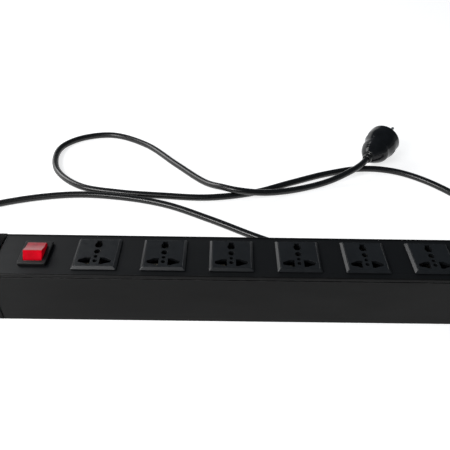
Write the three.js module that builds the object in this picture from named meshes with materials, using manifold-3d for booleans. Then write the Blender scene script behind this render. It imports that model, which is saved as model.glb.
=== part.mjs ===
// Rack power strip: an aluminium channel with six universal sockets, a lit rocker switch,
// rack ears at both ends and a mains lead with a round two-pin plug.
// Millimetres. +X runs along the strip away from the switch, +Y to its rear side, +Z out of
// the socket face. The origin is under the middle of the strip, on the surface it lies on.
import * as THREE from "three";
import { mergeVertices } from "three/addons/utils/BufferGeometryUtils.js";
import Module from "manifold-3d";

const wasm = await Module();
wasm.setup();

// ---- driving dimensions ------------------------------------------------------------------
const GAP = 0.3; // clearance between pieces that touch

const CHANNEL_LENGTH = 422;
const BODY_WIDTH = 54.6;
const BODY_HEIGHT = 59.5;
const WALL = 2;
const LIP_WIDTH = 1.8; // top edge of the wall, outside the socket panel
const LEDGE_WIDTH = 3;
const EDGE_RADIUS = 1.2;
const LINE_GROOVE = { below: 2.6, height: 1, depth: 0.8 };

const PANEL_THICKNESS = 1.8;
const PANEL_TOP = BODY_HEIGHT - 0.5;

const CAP_THICKNESS = 12.5;
const CAP_PROUD = 0.8;
const CAP_RADIUS = 2.6;
const CAP_WALL = 3.6;
const CAP_PLATE = 4.2;

const RACK_WIDTH = 482.6;
const RACK_HOLE_SPACING = 465.1;
const RACK_SLOT_SPACING = 31.75;
const RACK_SLOT = { length: 10, width: 6.8 };
const EAR_THICKNESS = 2;
const EAR_WIDTH = 54;
const EAR_LEG_BOTTOM = 8;

const END_SCREW = { y: 21.4, z: 40, shank: 1.9, head: 3.8, headHeight: 2.4, length: 24 };
const BOSS_RADIUS = 3.4;
const SCREW_HOLE = 2.2;

const SOCKET_COUNT = 6;
const SOCKET_PITCH = 61;
const FIRST_SOCKET_X = -120.8;
const SOCKET_SIZE = 40;
const SOCKET_RISE = 2.8;
const SOCKET_CHAMFER = 2.1;
const SOCKET_SKIRT = 36;
const SKIRT_WALL = 1.5;
const SKIRT_BOTTOM = 52;
const FACE_THICKNESS = 3.1;
const HOUSING_SIZE = 34.4;
const HOUSING_WALL = 1.5;
const HOUSING_BOTTOM = 27;

const PIN_LINE_Y = -11; // live and neutral entries
const EARTH_Y = 11.2; // 22.2 mm behind them
const SECOND_EARTH_Y = 1.2;
const SMALL_ENTRIES = [
  { y: -5.4, radius: 1.8 },
  { y: PIN_LINE_Y, radius: 2 },
];

const CONTACT_X = 9.8;
const CONTACT_HALF_WIDTH = 4.6;
const CONTACT_TOP = 56;
const CONTACT_BASE = 40;
const LEAF = 0.8;
const BUSBAR = { width: 8, thickness: 1.2, bottom: 21, left: -148 };
const TRAY = { top: 20.7, thickness: 3.2, halfWidth: 20, ribTop: 26, left: -144, right: 205 };

const SWITCH_X = -176.4;
const SWITCH_Y = -0.5;
const BEZEL = { width: 25.6, depth: 30.4, height: 2.9 };
const SWITCH_BODY = { width: 22.4, depth: 28, bottom: 34 };
const ROCKER_WIDTH = 16.6;
const ROCKER_OPENING = { width: 17.4, depth: 22.6 };
const ROCKER_PIVOT_Z = 57.5;
const ROCKER_RADIUS = 10.8;
const ROCKER_CREST = { y: 7.7, z: 9.6, dip: 0.6 };
const ROCKER_TILT = 14; // degrees to either side of level
const TRUNNION = { radius: 1.5, length: 0.9 };
const ARM = { x: 5, width: 3, length: 16, thickness: 0.8, z: 45.5, tilt: 7 };
const TERMINAL = { width: 4.8, thickness: 0.8, bottom: 26.5 };

const GLAND_Z = 24;
const GLAND = { tip: -258, flange: 9.8, neck: 8, root: 8.6, tipRadius: 5.8, inner: -209 };
const CORD_RADIUS = 4.1;
const CORD_SIDES = 10;
const CORD_STEPS = 80;
const WIRE_RADIUS = 1.4;

const PLUG = { x: 214.8, y: 278.9, z: 22.2, azimuth: 53, slope: 6, roll: 108 };
const PLUG_LENGTH = 48.5;
const PLUG_RADIUS = 22;
const PLUG_PIN = { radius: 2.4, length: 19, depth: 8, spacing: 19 };
const PLUG_RECESS = { width: 9, depth: 4.6, length: 17 };
const PLUG_GUARD = { length: 13, visible: 6, radius: 6.4 };

// ---- materials ---------------------------------------------------------------------------
const material = (color, roughness, metalness, extra = {}) =>
  new THREE.MeshStandardMaterial({ color, roughness, metalness, ...extra });
const blackAluminium = material(0x26272a, 0.45, 0.8);
const blackSteel = material(0x18181a, 0.4, 0.7);
const blackPlastic = material(0x1c1d21, 0.4, 0);
const capPlastic = material(0x0e0e0f, 0.5, 0);
const whitePlastic = material(0xd8d6cf, 0.5, 0);
const redPlastic = material(0xd8102a, 0.15, 0, { transparent: true, opacity: 0.85 });
const brass = material(0xc9a24c, 0.3, 1);
const nickel = material(0xc8c8c4, 0.25, 1);
const zincSteel = material(0x9a9ca0, 0.35, 1);
const lampGlass = material(0xffb48a, 0.1, 0);
const cordRubber = material(0x141415, 0.45, 0);
const liveSheath = material(0x6a3a1c, 0.45, 0);
const neutralSheath = material(0x1f5fae, 0.45, 0);
const earthSheath = material(0x4f9a35, 0.45, 0);

// ---- solids ------------------------------------------------------------------------------
const strip = new THREE.Group();

function toManifold(geometry) {
  const bare = geometry.clone();
  bare.deleteAttribute("normal");
  bare.deleteAttribute("uv");
  const merged = mergeVertices(bare, 1e-4);
  return new wasm.Manifold(
    new wasm.Mesh({
      numProp: 3,
      vertProperties: new Float32Array(merged.attributes.position.array),
      triVerts: new Uint32Array(merged.index.array),
    })
  );
}

function toGeometry(manifold) {
  const { vertProperties, triVerts } = manifold.getMesh();
  const geometry = new THREE.BufferGeometry();
  geometry.setAttribute("position", new THREE.BufferAttribute(vertProperties, 3));
  geometry.setIndex(new THREE.BufferAttribute(triVerts, 1));
  geometry.computeVertexNormals();
  return geometry;
}

function addPiece(name, shape, pieceMaterial, parent = strip) {
  const geometry = shape.isBufferGeometry ? shape : toGeometry(shape);
  const piece = new THREE.Mesh(geometry, pieceMaterial);
  piece.name = name;
  parent.add(piece);
  return piece;
}

const join = (...geometries) =>
  geometries.map(toManifold).reduce((whole, next) => whole.add(next));
const cut = (solid, ...geometries) =>
  geometries.map(toManifold).reduce((left, next) => left.subtract(next), solid);

// A block between two values on each axis.
function block([x0, x1], [y0, y1], [z0, z1]) {
  const geometry = new THREE.BoxGeometry(x1 - x0, y1 - y0, z1 - z0);
  return geometry.translate((x0 + x1) / 2, (y0 + y1) / 2, (z0 + z1) / 2);
}

const around = (centre, half) => [centre - half, centre + half];

// A drum along z, x or y.
function drumZ(x, y, [z0, z1], radius, sides = 16) {
  const geometry = new THREE.CylinderGeometry(radius, radius, z1 - z0, sides);
  return geometry.rotateX(Math.PI / 2).translate(x, y, (z0 + z1) / 2);
}

function drumX([x0, x1], y, z, radius, sides = 16) {
  const geometry = new THREE.CylinderGeometry(radius, radius, x1 - x0, sides);
  return geometry.rotateZ(Math.PI / 2).translate((x0 + x1) / 2, y, z);
}

// A section drawn in y and z, run along x.
function runAlongX(shape, [x0, x1], curveSegments = 6) {
  const geometry = new THREE.ExtrudeGeometry(shape, {
    depth: x1 - x0,
    bevelEnabled: false,
    curveSegments,
  });
  const basis = new THREE.Matrix4().makeBasis(
    new THREE.Vector3(0, 1, 0),
    new THREE.Vector3(0, 0, 1),
    new THREE.Vector3(1, 0, 0)
  );
  return geometry.applyMatrix4(basis).translate(x0, 0, 0);
}

// An outline drawn in x and y, run along z.
function runAlongZ(shape, [z0, z1], curveSegments = 6) {
  const geometry = new THREE.ExtrudeGeometry(shape, {
    depth: z1 - z0,
    bevelEnabled: false,
    curveSegments,
  });
  return geometry.translate(0, 0, z0);
}

// A closed profile of [radius, place along x], turned about the x axis at height z.
function turnAboutX(profile, z, sides = 24) {
  const points = profile.map(([radius, x]) => new THREE.Vector2(radius, x));
  return new THREE.LatheGeometry(points, sides).rotateZ(-Math.PI / 2).translate(0, 0, z);
}

function roundedRectangle(width, height, radius, centreX = 0, centreY = 0) {
  const [x0, x1] = around(centreX, width / 2);
  const [y0, y1] = around(centreY, height / 2);
  const shape = new THREE.Shape();
  shape.moveTo(x0 + radius, y0);
  shape.lineTo(x1 - radius, y0);
  shape.absarc(x1 - radius, y0 + radius, radius, -Math.PI / 2, 0);
  shape.lineTo(x1, y1 - radius);
  shape.absarc(x1 - radius, y1 - radius, radius, 0, Math.PI / 2);
  shape.lineTo(x0 + radius, y1);
  shape.absarc(x0 + radius, y1 - radius, radius, Math.PI / 2, Math.PI);
  shape.lineTo(x0, y0 + radius);
  shape.absarc(x0 + radius, y0 + radius, radius, Math.PI, 1.5 * Math.PI);
  return shape;
}

// A round tube that follows points; the curve passes through every one of them.
function tube(points, radius, sides, steps) {
  const curve = new THREE.CatmullRomCurve3(
    points.map((point) => new THREE.Vector3(...point)),
    false,
    "centripetal"
  );
  const section = new THREE.Shape();
  for (let side = 0; side < sides; side += 1) {
    const angle = (side / sides) * 2 * Math.PI;
    const place = [radius * Math.cos(angle), radius * Math.sin(angle)];
    if (side === 0) section.moveTo(...place);
    else section.lineTo(...place);
  }
  section.closePath();
  return new THREE.ExtrudeGeometry(section, {
    steps,
    extrudePath: curve,
    bevelEnabled: false,
  });
}

// ---- channel and socket panel ------------------------------------------------------------
const halfWidth = BODY_WIDTH / 2;
const channelEnd = CHANNEL_LENGTH / 2;

// One half of the channel's section, from the middle of its underside round to the middle
// of its floor; the other half is its mirror image.
function channelHalfOutline() {
  const inner = halfWidth - WALL;
  const lipInner = halfWidth - LIP_WIDTH;
  const ledgeTop = PANEL_TOP - PANEL_THICKNESS - GAP;
  const grooveTop = BODY_HEIGHT - LINE_GROOVE.below;
  const grooveBottom = grooveTop - LINE_GROOVE.height;
  const outline = [[0, 0]];
  const arc = (centreY, centreZ, from, to) => {
    for (let step = 0; step <= 3; step += 1) {
      const angle = from + ((to - from) * step) / 3;
      outline.push([
        centreY + EDGE_RADIUS * Math.cos(angle),
        centreZ + EDGE_RADIUS * Math.sin(angle),
      ]);
    }
  };
  arc(halfWidth - EDGE_RADIUS, EDGE_RADIUS, -Math.PI / 2, 0);
  outline.push([halfWidth, grooveBottom]);
  outline.push([halfWidth - LINE_GROOVE.depth, grooveBottom]);
  outline.push([halfWidth - LINE_GROOVE.depth, grooveTop]);
  outline.push([halfWidth, grooveTop]);
  arc(halfWidth - EDGE_RADIUS, BODY_HEIGHT - EDGE_RADIUS, 0, Math.PI / 2);
  outline.push([lipInner, BODY_HEIGHT]);
  outline.push([lipInner, ledgeTop]);
  outline.push([halfWidth - LIP_WIDTH - LEDGE_WIDTH, ledgeTop]);
  outline.push([halfWidth - LIP_WIDTH - LEDGE_WIDTH, ledgeTop - 1.4]);
  outline.push([inner, ledgeTop - 2.6]);
  outline.push([inner, END_SCREW.z + BOSS_RADIUS]);
  for (let step = 0; step <= 6; step += 1) {
    const angle = Math.PI / 2 + (Math.PI * step) / 6;
    outline.push([
      END_SCREW.y + BOSS_RADIUS * Math.cos(angle),
      END_SCREW.z + BOSS_RADIUS * Math.sin(angle),
    ]);
  }
  outline.push([inner, END_SCREW.z - BOSS_RADIUS]);
  outline.push([inner, WALL]);
  outline.push([0, WALL]);
  return outline;
}

function channelShape() {
  const half = channelHalfOutline();
  const mirrored = half
    .slice(1, -1)
    .reverse()
    .map(([y, z]) => [-y, z]);
  const shape = new THREE.Shape([...half, ...mirrored].map(([y, z]) => new THREE.Vector2(y, z)));
  for (const side of [-1, 1]) {
    const hole = new THREE.Path();
    hole.absarc(side * END_SCREW.y, END_SCREW.z, SCREW_HOLE, 0, 2 * Math.PI);
    shape.holes.push(hole);
  }
  return shape;
}

const EARTH_SCREW = { x: -160, y: 13, shank: 1.7, head: 3.6, hole: 2 };
const channel = toManifold(runAlongX(channelShape(), [-channelEnd, channelEnd]));
addPiece(
  "base_channel",
  cut(channel, drumZ(EARTH_SCREW.x, EARTH_SCREW.y, [-1, WALL + 1], EARTH_SCREW.hole, 12)),
  blackAluminium
);

const socketX = Array.from({ length: SOCKET_COUNT }, (_, k) => FIRST_SOCKET_X + k * SOCKET_PITCH);

const panelHalfWidth = halfWidth - LIP_WIDTH - GAP;
const panelLevels = [PANEL_TOP - PANEL_THICKNESS, PANEL_TOP];
const throughPanel = [PANEL_TOP - PANEL_THICKNESS - 1, PANEL_TOP + 1];
const socketOpening = SOCKET_SKIRT / 2 + GAP;
addPiece(
  "socket_panel",
  cut(
    toManifold(block(around(0, channelEnd), around(0, panelHalfWidth), panelLevels)),
    ...socketX.map((x) => block(around(x, socketOpening), around(0, socketOpening), throughPanel)),
    block(
      around(SWITCH_X, SWITCH_BODY.width / 2 + GAP),
      around(SWITCH_Y, SWITCH_BODY.depth / 2 + GAP),
      throughPanel
    )
  ),
  blackAluminium
);

// ---- end caps, rack ears and their screws ------------------------------------------------
const capInner = channelEnd + GAP;
const capOuter = channelEnd + CAP_THICKNESS;
const capWidth = BODY_WIDTH + 2 * CAP_PROUD;
const capHeight = BODY_HEIGHT + CAP_PROUD;
const earInner = capOuter - EAR_THICKNESS;

// Both ends are drawn on the +X side; side is 1 there and -1 at the switch's end.
const sideRange = (side, [a, b]) => (side > 0 ? [a, b] : [-b, -a]);

function endCap(side, hasCordHole) {
  const span = (range) => sideRange(side, range);
  const outline = roundedRectangle(capWidth, capHeight, CAP_RADIUS, 0, capHeight / 2);
  let cap = toManifold(runAlongX(outline, span([capInner, capOuter])));
  const pocketHalf = capWidth / 2 - CAP_WALL;
  cap = cut(
    cap,
    block(span([capInner - 1, capOuter - CAP_PLATE]), around(0, pocketHalf), [
      CAP_WALL,
      capHeight - CAP_WALL,
    ]),
    block(
      span([earInner - GAP, capOuter + 1]),
      around(0, EAR_WIDTH / 2 + GAP),
      [EAR_LEG_BOTTOM - GAP, capHeight + 1]
    )
  );
  for (const y of [-END_SCREW.y, END_SCREW.y]) {
    const boss = drumX(span([capInner, earInner - 1]), y, END_SCREW.z, BOSS_RADIUS, 12);
    cap = cap.add(toManifold(boss));
    cap = cut(cap, drumX(span([capInner - 1, capOuter + 1]), y, END_SCREW.z, SCREW_HOLE, 12));
  }
  if (hasCordHole) {
    cap = cut(cap, drumX(span([capInner - 1, capOuter + 1]), 0, GLAND_Z, GLAND.neck + GAP, 20));
  }
  return cap;
}

function slotShape(x, y) {
  const radius = RACK_SLOT.width / 2;
  const reach = RACK_SLOT.length / 2 - radius;
  const shape = new THREE.Shape();
  shape.absarc(x - reach, y, radius, Math.PI / 2, 1.5 * Math.PI);
  shape.absarc(x + reach, y, radius, -Math.PI / 2, Math.PI / 2);
  return shape;
}

const earTop = BODY_HEIGHT - GAP;

function mountingEar(side) {
  const span = (range) => sideRange(side, range);
  const acrossEar = around(0, EAR_WIDTH / 2);
  let ear = join(
    block(span([earInner, capOuter]), acrossEar, [EAR_LEG_BOTTOM, earTop]),
    block(span([earInner, RACK_WIDTH / 2]), acrossEar, [earTop - EAR_THICKNESS, earTop])
  );
  for (const y of around(0, RACK_SLOT_SPACING / 2)) {
    const slot = slotShape((side * RACK_HOLE_SPACING) / 2, y);
    ear = cut(ear, runAlongZ(slot, [earTop - EAR_THICKNESS - 1, earTop + 1]));
  }
  const through = span([earInner - 1, capOuter + 1]);
  ear = cut(ear, drumX(through, 0, GLAND_Z, GLAND.flange + GAP, 24));
  for (const y of around(0, END_SCREW.y)) {
    ear = cut(ear, drumX(through, y, END_SCREW.z, SCREW_HOLE, 12));
  }
  return ear;
}

function endScrew(side, y) {
  const headStart = capOuter + GAP;
  const span = (range) => sideRange(side, range);
  return join(
    drumX(span([headStart, headStart + END_SCREW.headHeight]), y, END_SCREW.z, END_SCREW.head),
    drumX(span([headStart - END_SCREW.length, headStart + 1]), y, END_SCREW.z, END_SCREW.shank, 12)
  );
}

for (const [end, side] of [["left", -1], ["right", 1]]) {
  addPiece(`end_cap_${end}`, endCap(side, side < 0), capPlastic);
  addPiece(`mounting_ear_${end}`, mountingEar(side), blackSteel);
  addPiece(`end_screw_${end}_front`, endScrew(side, -END_SCREW.y), zincSteel);
  addPiece(`end_screw_${end}_rear`, endScrew(side, END_SCREW.y), zincSteel);
}

// ---- sockets -----------------------------------------------------------------------------
const faceBase = PANEL_TOP + GAP;
const faceTop = faceBase + SOCKET_RISE;

// The combined entry for flat, round and slanted pins, drawn for the neutral side.
function pinEntry(x, side) {
  const outline = [
    [4.1, -4.4],
    [7, -4.4],
    [9.6, -3],
    [14.8, -1.9],
    [14.8, 1.6],
    [11.5, 2.7],
    [8.6, 4.4],
    [4.1, 4.4],
  ];
  const ordered = side > 0 ? outline : outline.slice().reverse();
  return new THREE.Shape(
    ordered.map(([across, along]) => new THREE.Vector2(x + side * across, PIN_LINE_Y + along))
  );
}

// A square block that narrows towards its top.
function taperedSquare(x, lowerSize, upperSize, [z0, z1]) {
  const diagonal = Math.SQRT1_2;
  const geometry = new THREE.CylinderGeometry(upperSize * diagonal, lowerSize * diagonal, z1 - z0, 4);
  return geometry
    .rotateY(Math.PI / 4)
    .rotateX(Math.PI / 2)
    .translate(x, 0, (z0 + z1) / 2);
}

function socketFace(x) {
  const shoulder = faceTop - SOCKET_CHAMFER;
  const through = [faceTop - FACE_THICKNESS - 1, faceTop + 1];
  const solid = join(
    block(around(x, SOCKET_SIZE / 2), around(0, SOCKET_SIZE / 2), [faceBase, shoulder]),
    taperedSquare(x, SOCKET_SIZE, SOCKET_SIZE - 2 * SOCKET_CHAMFER, [shoulder, faceTop]),
    block(around(x, SOCKET_SKIRT / 2), around(0, SOCKET_SKIRT / 2), [SKIRT_BOTTOM, shoulder])
  );
  const hollow = SOCKET_SKIRT / 2 - SKIRT_WALL;
  return cut(
    solid,
    block(around(x, hollow), around(0, hollow), [SKIRT_BOTTOM - 1, faceTop - FACE_THICKNESS]),
    block(around(x, 2.3), around(EARTH_Y, 4.6), through),
    drumZ(x, EARTH_Y - 0.9, through, 3.6),
    drumZ(x, SECOND_EARTH_Y, through, 2.85, 14),
    ...SMALL_ENTRIES.map(({ y, radius }) => drumZ(x, y, through, radius, 12)),
    runAlongZ(pinEntry(x, 1), through),
    runAlongZ(pinEntry(x, -1), through)
  );
}

function socketHousing(x) {
  const outer = HOUSING_SIZE / 2;
  const inner = outer - HOUSING_WALL;
  const top = SKIRT_BOTTOM - GAP;
  const floor = [HOUSING_BOTTOM - 1, HOUSING_BOTTOM + HOUSING_WALL + 1];
  return cut(
    toManifold(block(around(x, outer), around(0, outer), [HOUSING_BOTTOM, top])),
    block(around(x, inner), around(0, inner), [HOUSING_BOTTOM + HOUSING_WALL, top + 1]),
    block(around(x - CONTACT_X, 3), around(PIN_LINE_Y, 1.4), floor),
    block(around(x + CONTACT_X, 3), around(0, 1.4), floor),
    block(around(x, 3), around(EARTH_Y, 1.4), floor)
  );
}

socketX.forEach((x, k) => {
  addPiece(`socket_face_${k + 1}`, socketFace(x), blackPlastic);
  addPiece(`socket_housing_${k + 1}`, socketHousing(x), blackPlastic);
});

// ---- busbars with their spring contacts --------------------------------------------------
const busbarTop = BUSBAR.bottom + BUSBAR.thickness;

function riser(x, y) {
  return block(around(x, 2.5), around(y, 0.6), [BUSBAR.bottom + 0.2, CONTACT_BASE + 0.5]);
}

// A clip under a live or neutral entry: a base and two upright leaves across y.
function pinClip(x, riserY) {
  const reach = 4.2;
  const acrossX = around(x, CONTACT_HALF_WIDTH);
  const rearEdge = Math.max(PIN_LINE_Y + reach, riserY + 0.6);
  const clip = [
    block(acrossX, [PIN_LINE_Y - reach, rearEdge], [CONTACT_BASE, CONTACT_BASE + LEAF]),
    riser(x, riserY),
  ];
  for (const side of [-1, 1]) {
    const leafY = PIN_LINE_Y + side * (reach - LEAF / 2);
    clip.push(block(acrossX, around(leafY, LEAF / 2), [CONTACT_BASE, CONTACT_TOP]));
  }
  return clip;
}

// The earth clip has two long leaves, so that one clip serves both earth entries.
function earthClip(x) {
  const alongY = [SECOND_EARTH_Y - 3.4, EARTH_Y + 4.4];
  const clip = [block(around(x, 4.4), alongY, [CONTACT_BASE, CONTACT_BASE + LEAF]), riser(x, EARTH_Y)];
  for (const side of [-1, 1]) {
    clip.push(block(around(x + side * 4, LEAF / 2), alongY, [CONTACT_BASE, CONTACT_TOP]));
  }
  return clip;
}

function busbar(y, right, clips) {
  const bar = block([BUSBAR.left, right], around(y, BUSBAR.width / 2), [BUSBAR.bottom, busbarTop]);
  return join(bar, ...clips.flat());
}

const busbarRight = socketX[SOCKET_COUNT - 1] + 14;
addPiece(
  "live_busbar",
  busbar(PIN_LINE_Y, busbarRight, socketX.map((x) => pinClip(x - CONTACT_X, PIN_LINE_Y))),
  brass
);
addPiece(
  "neutral_busbar",
  busbar(0, busbarRight, socketX.map((x) => pinClip(x + CONTACT_X, 0))),
  brass
);
addPiece("earth_busbar", busbar(EARTH_Y, busbarRight, socketX.map(earthClip)), brass);

const trayLength = [TRAY.left, TRAY.right];
const trayBottom = TRAY.top - TRAY.thickness;
addPiece(
  "busbar_tray",
  join(
    block(trayLength, around(0, TRAY.halfWidth), [trayBottom, TRAY.top]),
    ...[-16.4, -5.5, 5.6, 16.6].map((y) =>
      block(trayLength, around(y, 0.7), [TRAY.top - 1, TRAY.ribTop])
    ),
    ...[-18.8, 18.8].map((y) => block(trayLength, around(y, 0.8), [WALL + GAP, trayBottom + 1]))
  ),
  whitePlastic
);

// ---- rocker switch -----------------------------------------------------------------------
const bezelTop = faceBase + BEZEL.height;
const poles = [
  { name: "live", x: SWITCH_X - ARM.x },
  { name: "neutral", x: SWITCH_X + ARM.x },
];
const loadTerminalY = SWITCH_Y - ARM.length / 2 + 1.4;

function switchHousing() {
  const solid = join(
    runAlongZ(
      roundedRectangle(BEZEL.width, BEZEL.depth, 1, SWITCH_X, SWITCH_Y),
      [faceBase, bezelTop],
      3
    ),
    block(around(SWITCH_X, SWITCH_BODY.width / 2), around(SWITCH_Y, SWITCH_BODY.depth / 2), [
      SWITCH_BODY.bottom,
      faceBase + 0.5,
    ])
  );
  const floor = [SWITCH_BODY.bottom - 1, SWITCH_BODY.bottom + 3];
  const slots = poles.flatMap(({ x }) =>
    [SWITCH_Y, loadTerminalY].map((y) =>
      block(around(x, TERMINAL.width / 2 + GAP), around(y, TERMINAL.thickness / 2 + GAP), floor)
    )
  );
  return cut(
    solid,
    block(
      around(SWITCH_X, ROCKER_OPENING.width / 2),
      around(SWITCH_Y, ROCKER_OPENING.depth / 2),
      [SWITCH_BODY.bottom + 2, bezelTop + 1]
    ),
    drumX(
      around(SWITCH_X, ROCKER_WIDTH / 2 + TRUNNION.length + GAP),
      SWITCH_Y,
      ROCKER_PIVOT_Z,
      TRUNNION.radius + GAP,
      16
    ),
    ...slots
  );
}

addPiece("switch_housing", switchHousing(), blackPlastic);

// The rocker's side outline, level, about its pivot: two crests with a shallow dip between
// them, upright ends, and a skirt that is round about the pivot.
function rockerShape() {
  const skirtAngle = Math.PI / 12;
  const shape = new THREE.Shape();
  const skirtTop = [ROCKER_RADIUS * Math.cos(skirtAngle), ROCKER_RADIUS * Math.sin(skirtAngle)];
  shape.moveTo(-ROCKER_CREST.y, ROCKER_CREST.z);
  shape.lineTo(-skirtTop[0], skirtTop[1]);
  shape.absarc(0, 0, ROCKER_RADIUS, Math.PI - skirtAngle, Math.PI + skirtAngle);
  shape.absarc(0, 0, ROCKER_RADIUS, -skirtAngle, skirtAngle);
  shape.lineTo(ROCKER_CREST.y, ROCKER_CREST.z);
  shape.lineTo(0, ROCKER_CREST.z - ROCKER_CREST.dip);
  shape.closePath();
  return shape;
}

const tilted = new THREE.Group();
tilted.position.set(SWITCH_X, SWITCH_Y, ROCKER_PIVOT_Z);
tilted.rotation.x = -THREE.MathUtils.degToRad(ROCKER_TILT);
strip.add(tilted);
addPiece(
  "switch_rocker",
  join(
    runAlongX(rockerShape(), around(0, ROCKER_WIDTH / 2), 4),
    drumX(around(0, ROCKER_WIDTH / 2 + TRUNNION.length), 0, 0, TRUNNION.radius),
    ...[-ARM.x, ARM.x].map((x) => block(around(x, 1.1), around(0, 1.1), [-10.3, -1]))
  ),
  redPlastic,
  tilted
);

for (const { name, x } of poles) {
  const balance = new THREE.Group();
  balance.position.set(x, SWITCH_Y, ARM.z);
  balance.rotation.x = THREE.MathUtils.degToRad(ARM.tilt);
  strip.add(balance);
  addPiece(
    `switch_contact_arm_${name}`,
    block(around(0, ARM.width / 2), around(0, ARM.length / 2), around(0, ARM.thickness / 2)),
    brass,
    balance
  );
  const terminal = (y, top) =>
    block(around(x, TERMINAL.width / 2), around(y, TERMINAL.thickness / 2), [TERMINAL.bottom, top]);
  addPiece(`switch_terminal_${name}_in`, terminal(SWITCH_Y, ARM.z - 0.8), brass);
  addPiece(`switch_terminal_${name}_out`, terminal(loadTerminalY, ARM.z - 1.8), brass);
}

const lampProfile = [
  [0, 0],
  [2.1, 0],
  [2.1, 10],
  [1.5, 12],
  [0, 13],
];
addPiece(
  "switch_lamp",
  new THREE.LatheGeometry(lampProfile.map(([radius, z]) => new THREE.Vector2(radius, z)), 12)
    .rotateX(Math.PI / 2)
    .translate(SWITCH_X, SWITCH_Y, SWITCH_BODY.bottom + 5),
  lampGlass
);

// ---- cord inlet and inner wiring ---------------------------------------------------------
const cordBore = CORD_RADIUS + GAP;
const glandShoulder = -earInner + GAP;
addPiece(
  "cord_strain_relief",
  turnAboutX(
    [
      [cordBore, GLAND.tip],
      [GLAND.tipRadius, GLAND.tip],
      [GLAND.root, -capOuter - 5],
      [GLAND.flange, -capOuter - 4],
      [GLAND.flange, glandShoulder - GAP],
      [GLAND.neck, glandShoulder - GAP],
      [GLAND.neck, GLAND.inner],
      [cordBore, GLAND.inner],
      [cordBore, GLAND.tip],
    ],
    GLAND_Z
  ),
  cordRubber
);

const nutInner = -(capOuter - CAP_PLATE) + GAP;
addPiece(
  "strain_relief_nut",
  cut(
    toManifold(drumX([nutInner, nutInner + 4.5], 0, GLAND_Z, 12, 6)),
    drumX([nutInner - 1, nutInner + 6], 0, GLAND_Z, GLAND.neck + GAP, 24)
  ),
  capPlastic
);

function earthLug() {
  const { x, y } = EARTH_SCREW;
  const plate = [WALL + GAP, WALL + GAP + 1];
  return cut(
    join(drumZ(x, y, plate, 5), block([x - 13, x], around(y, 2.2), plate)),
    drumZ(x, y, [0, 6], EARTH_SCREW.hole, 12)
  );
}

const screwHeadBottom = WALL + 2 * GAP + 1;
addPiece("earth_lug", earthLug(), nickel);
addPiece(
  "earth_screw",
  join(
    drumZ(EARTH_SCREW.x, EARTH_SCREW.y, [screwHeadBottom, screwHeadBottom + 2.4], EARTH_SCREW.head),
    drumZ(EARTH_SCREW.x, EARTH_SCREW.y, [GAP, screwHeadBottom + 1], EARTH_SCREW.shank, 12)
  ),
  zincSteel
);

const WIRE_SIDES = 8;
const WIRE_STEPS = 12;
const wireStart = GLAND.inner + GAP;
const terminalEnd = TERMINAL.bottom - GAP - WIRE_RADIUS;
const busbarMiddle = BUSBAR.bottom + BUSBAR.thickness / 2;
const busbarEnd = BUSBAR.left - GAP;
const wires = {
  wire_live_inlet: [
    liveSheath,
    [
      [wireStart, -1.8, GLAND_Z - 1.5],
      [-196, -3, 20],
      [-186, -2, 19],
      [poles[0].x, SWITCH_Y, 21.5],
      [poles[0].x + 0.2, SWITCH_Y, terminalEnd + 0.4],
    ],
  ],
  wire_neutral_inlet: [
    neutralSheath,
    [
      [wireStart, 1.8, GLAND_Z - 1.5],
      [-194, 4, 19],
      [-180, 3.5, 16],
      [poles[1].x - 1, SWITCH_Y + 0.5, 18],
      [poles[1].x, SWITCH_Y, terminalEnd + 0.4],
    ],
  ],
  wire_live_switched: [
    liveSheath,
    [
      [poles[0].x, loadTerminalY, terminalEnd + 0.4],
      [poles[0].x + 2, loadTerminalY - 3, 18],
      [-166, PIN_LINE_Y - 3, 13],
      [-155, PIN_LINE_Y, 18],
      [busbarEnd, PIN_LINE_Y, busbarMiddle],
    ],
  ],
  wire_neutral_switched: [
    neutralSheath,
    [
      [poles[1].x, loadTerminalY, terminalEnd + 0.4],
      [poles[1].x + 3, loadTerminalY + 0.5, 19],
      [-160, -4, 17],
      [-153, -0.5, 20],
      [busbarEnd, 0, busbarMiddle],
    ],
  ],
  wire_earth_inlet: [
    earthSheath,
    [
      [wireStart, 0, GLAND_Z + 2],
      [-200, 9, 21],
      [-191, 14, 12],
      [-182, 13.4, 5],
      [EARTH_SCREW.x - 13 - GAP, EARTH_SCREW.y, WALL + 2.2],
    ],
  ],
};
for (const [name, [sheath, points]] of Object.entries(wires)) {
  addPiece(name, tube(points, WIRE_RADIUS, WIRE_SIDES, WIRE_STEPS), sheath);
}
addPiece(
  "wire_earth_busbar",
  tube(
    [
      [EARTH_SCREW.x + 6.7, EARTH_SCREW.y, WALL + 2.2],
      [-149.6, 13, 5],
      [-152.2, 12.4, 15],
      [busbarEnd - 1.2, EARTH_Y, busbarMiddle - 0.4],
      [busbarEnd, EARTH_Y, busbarMiddle],
    ],
    WIRE_RADIUS,
    WIRE_SIDES,
    WIRE_STEPS
  ),
  earthSheath
);

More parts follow.
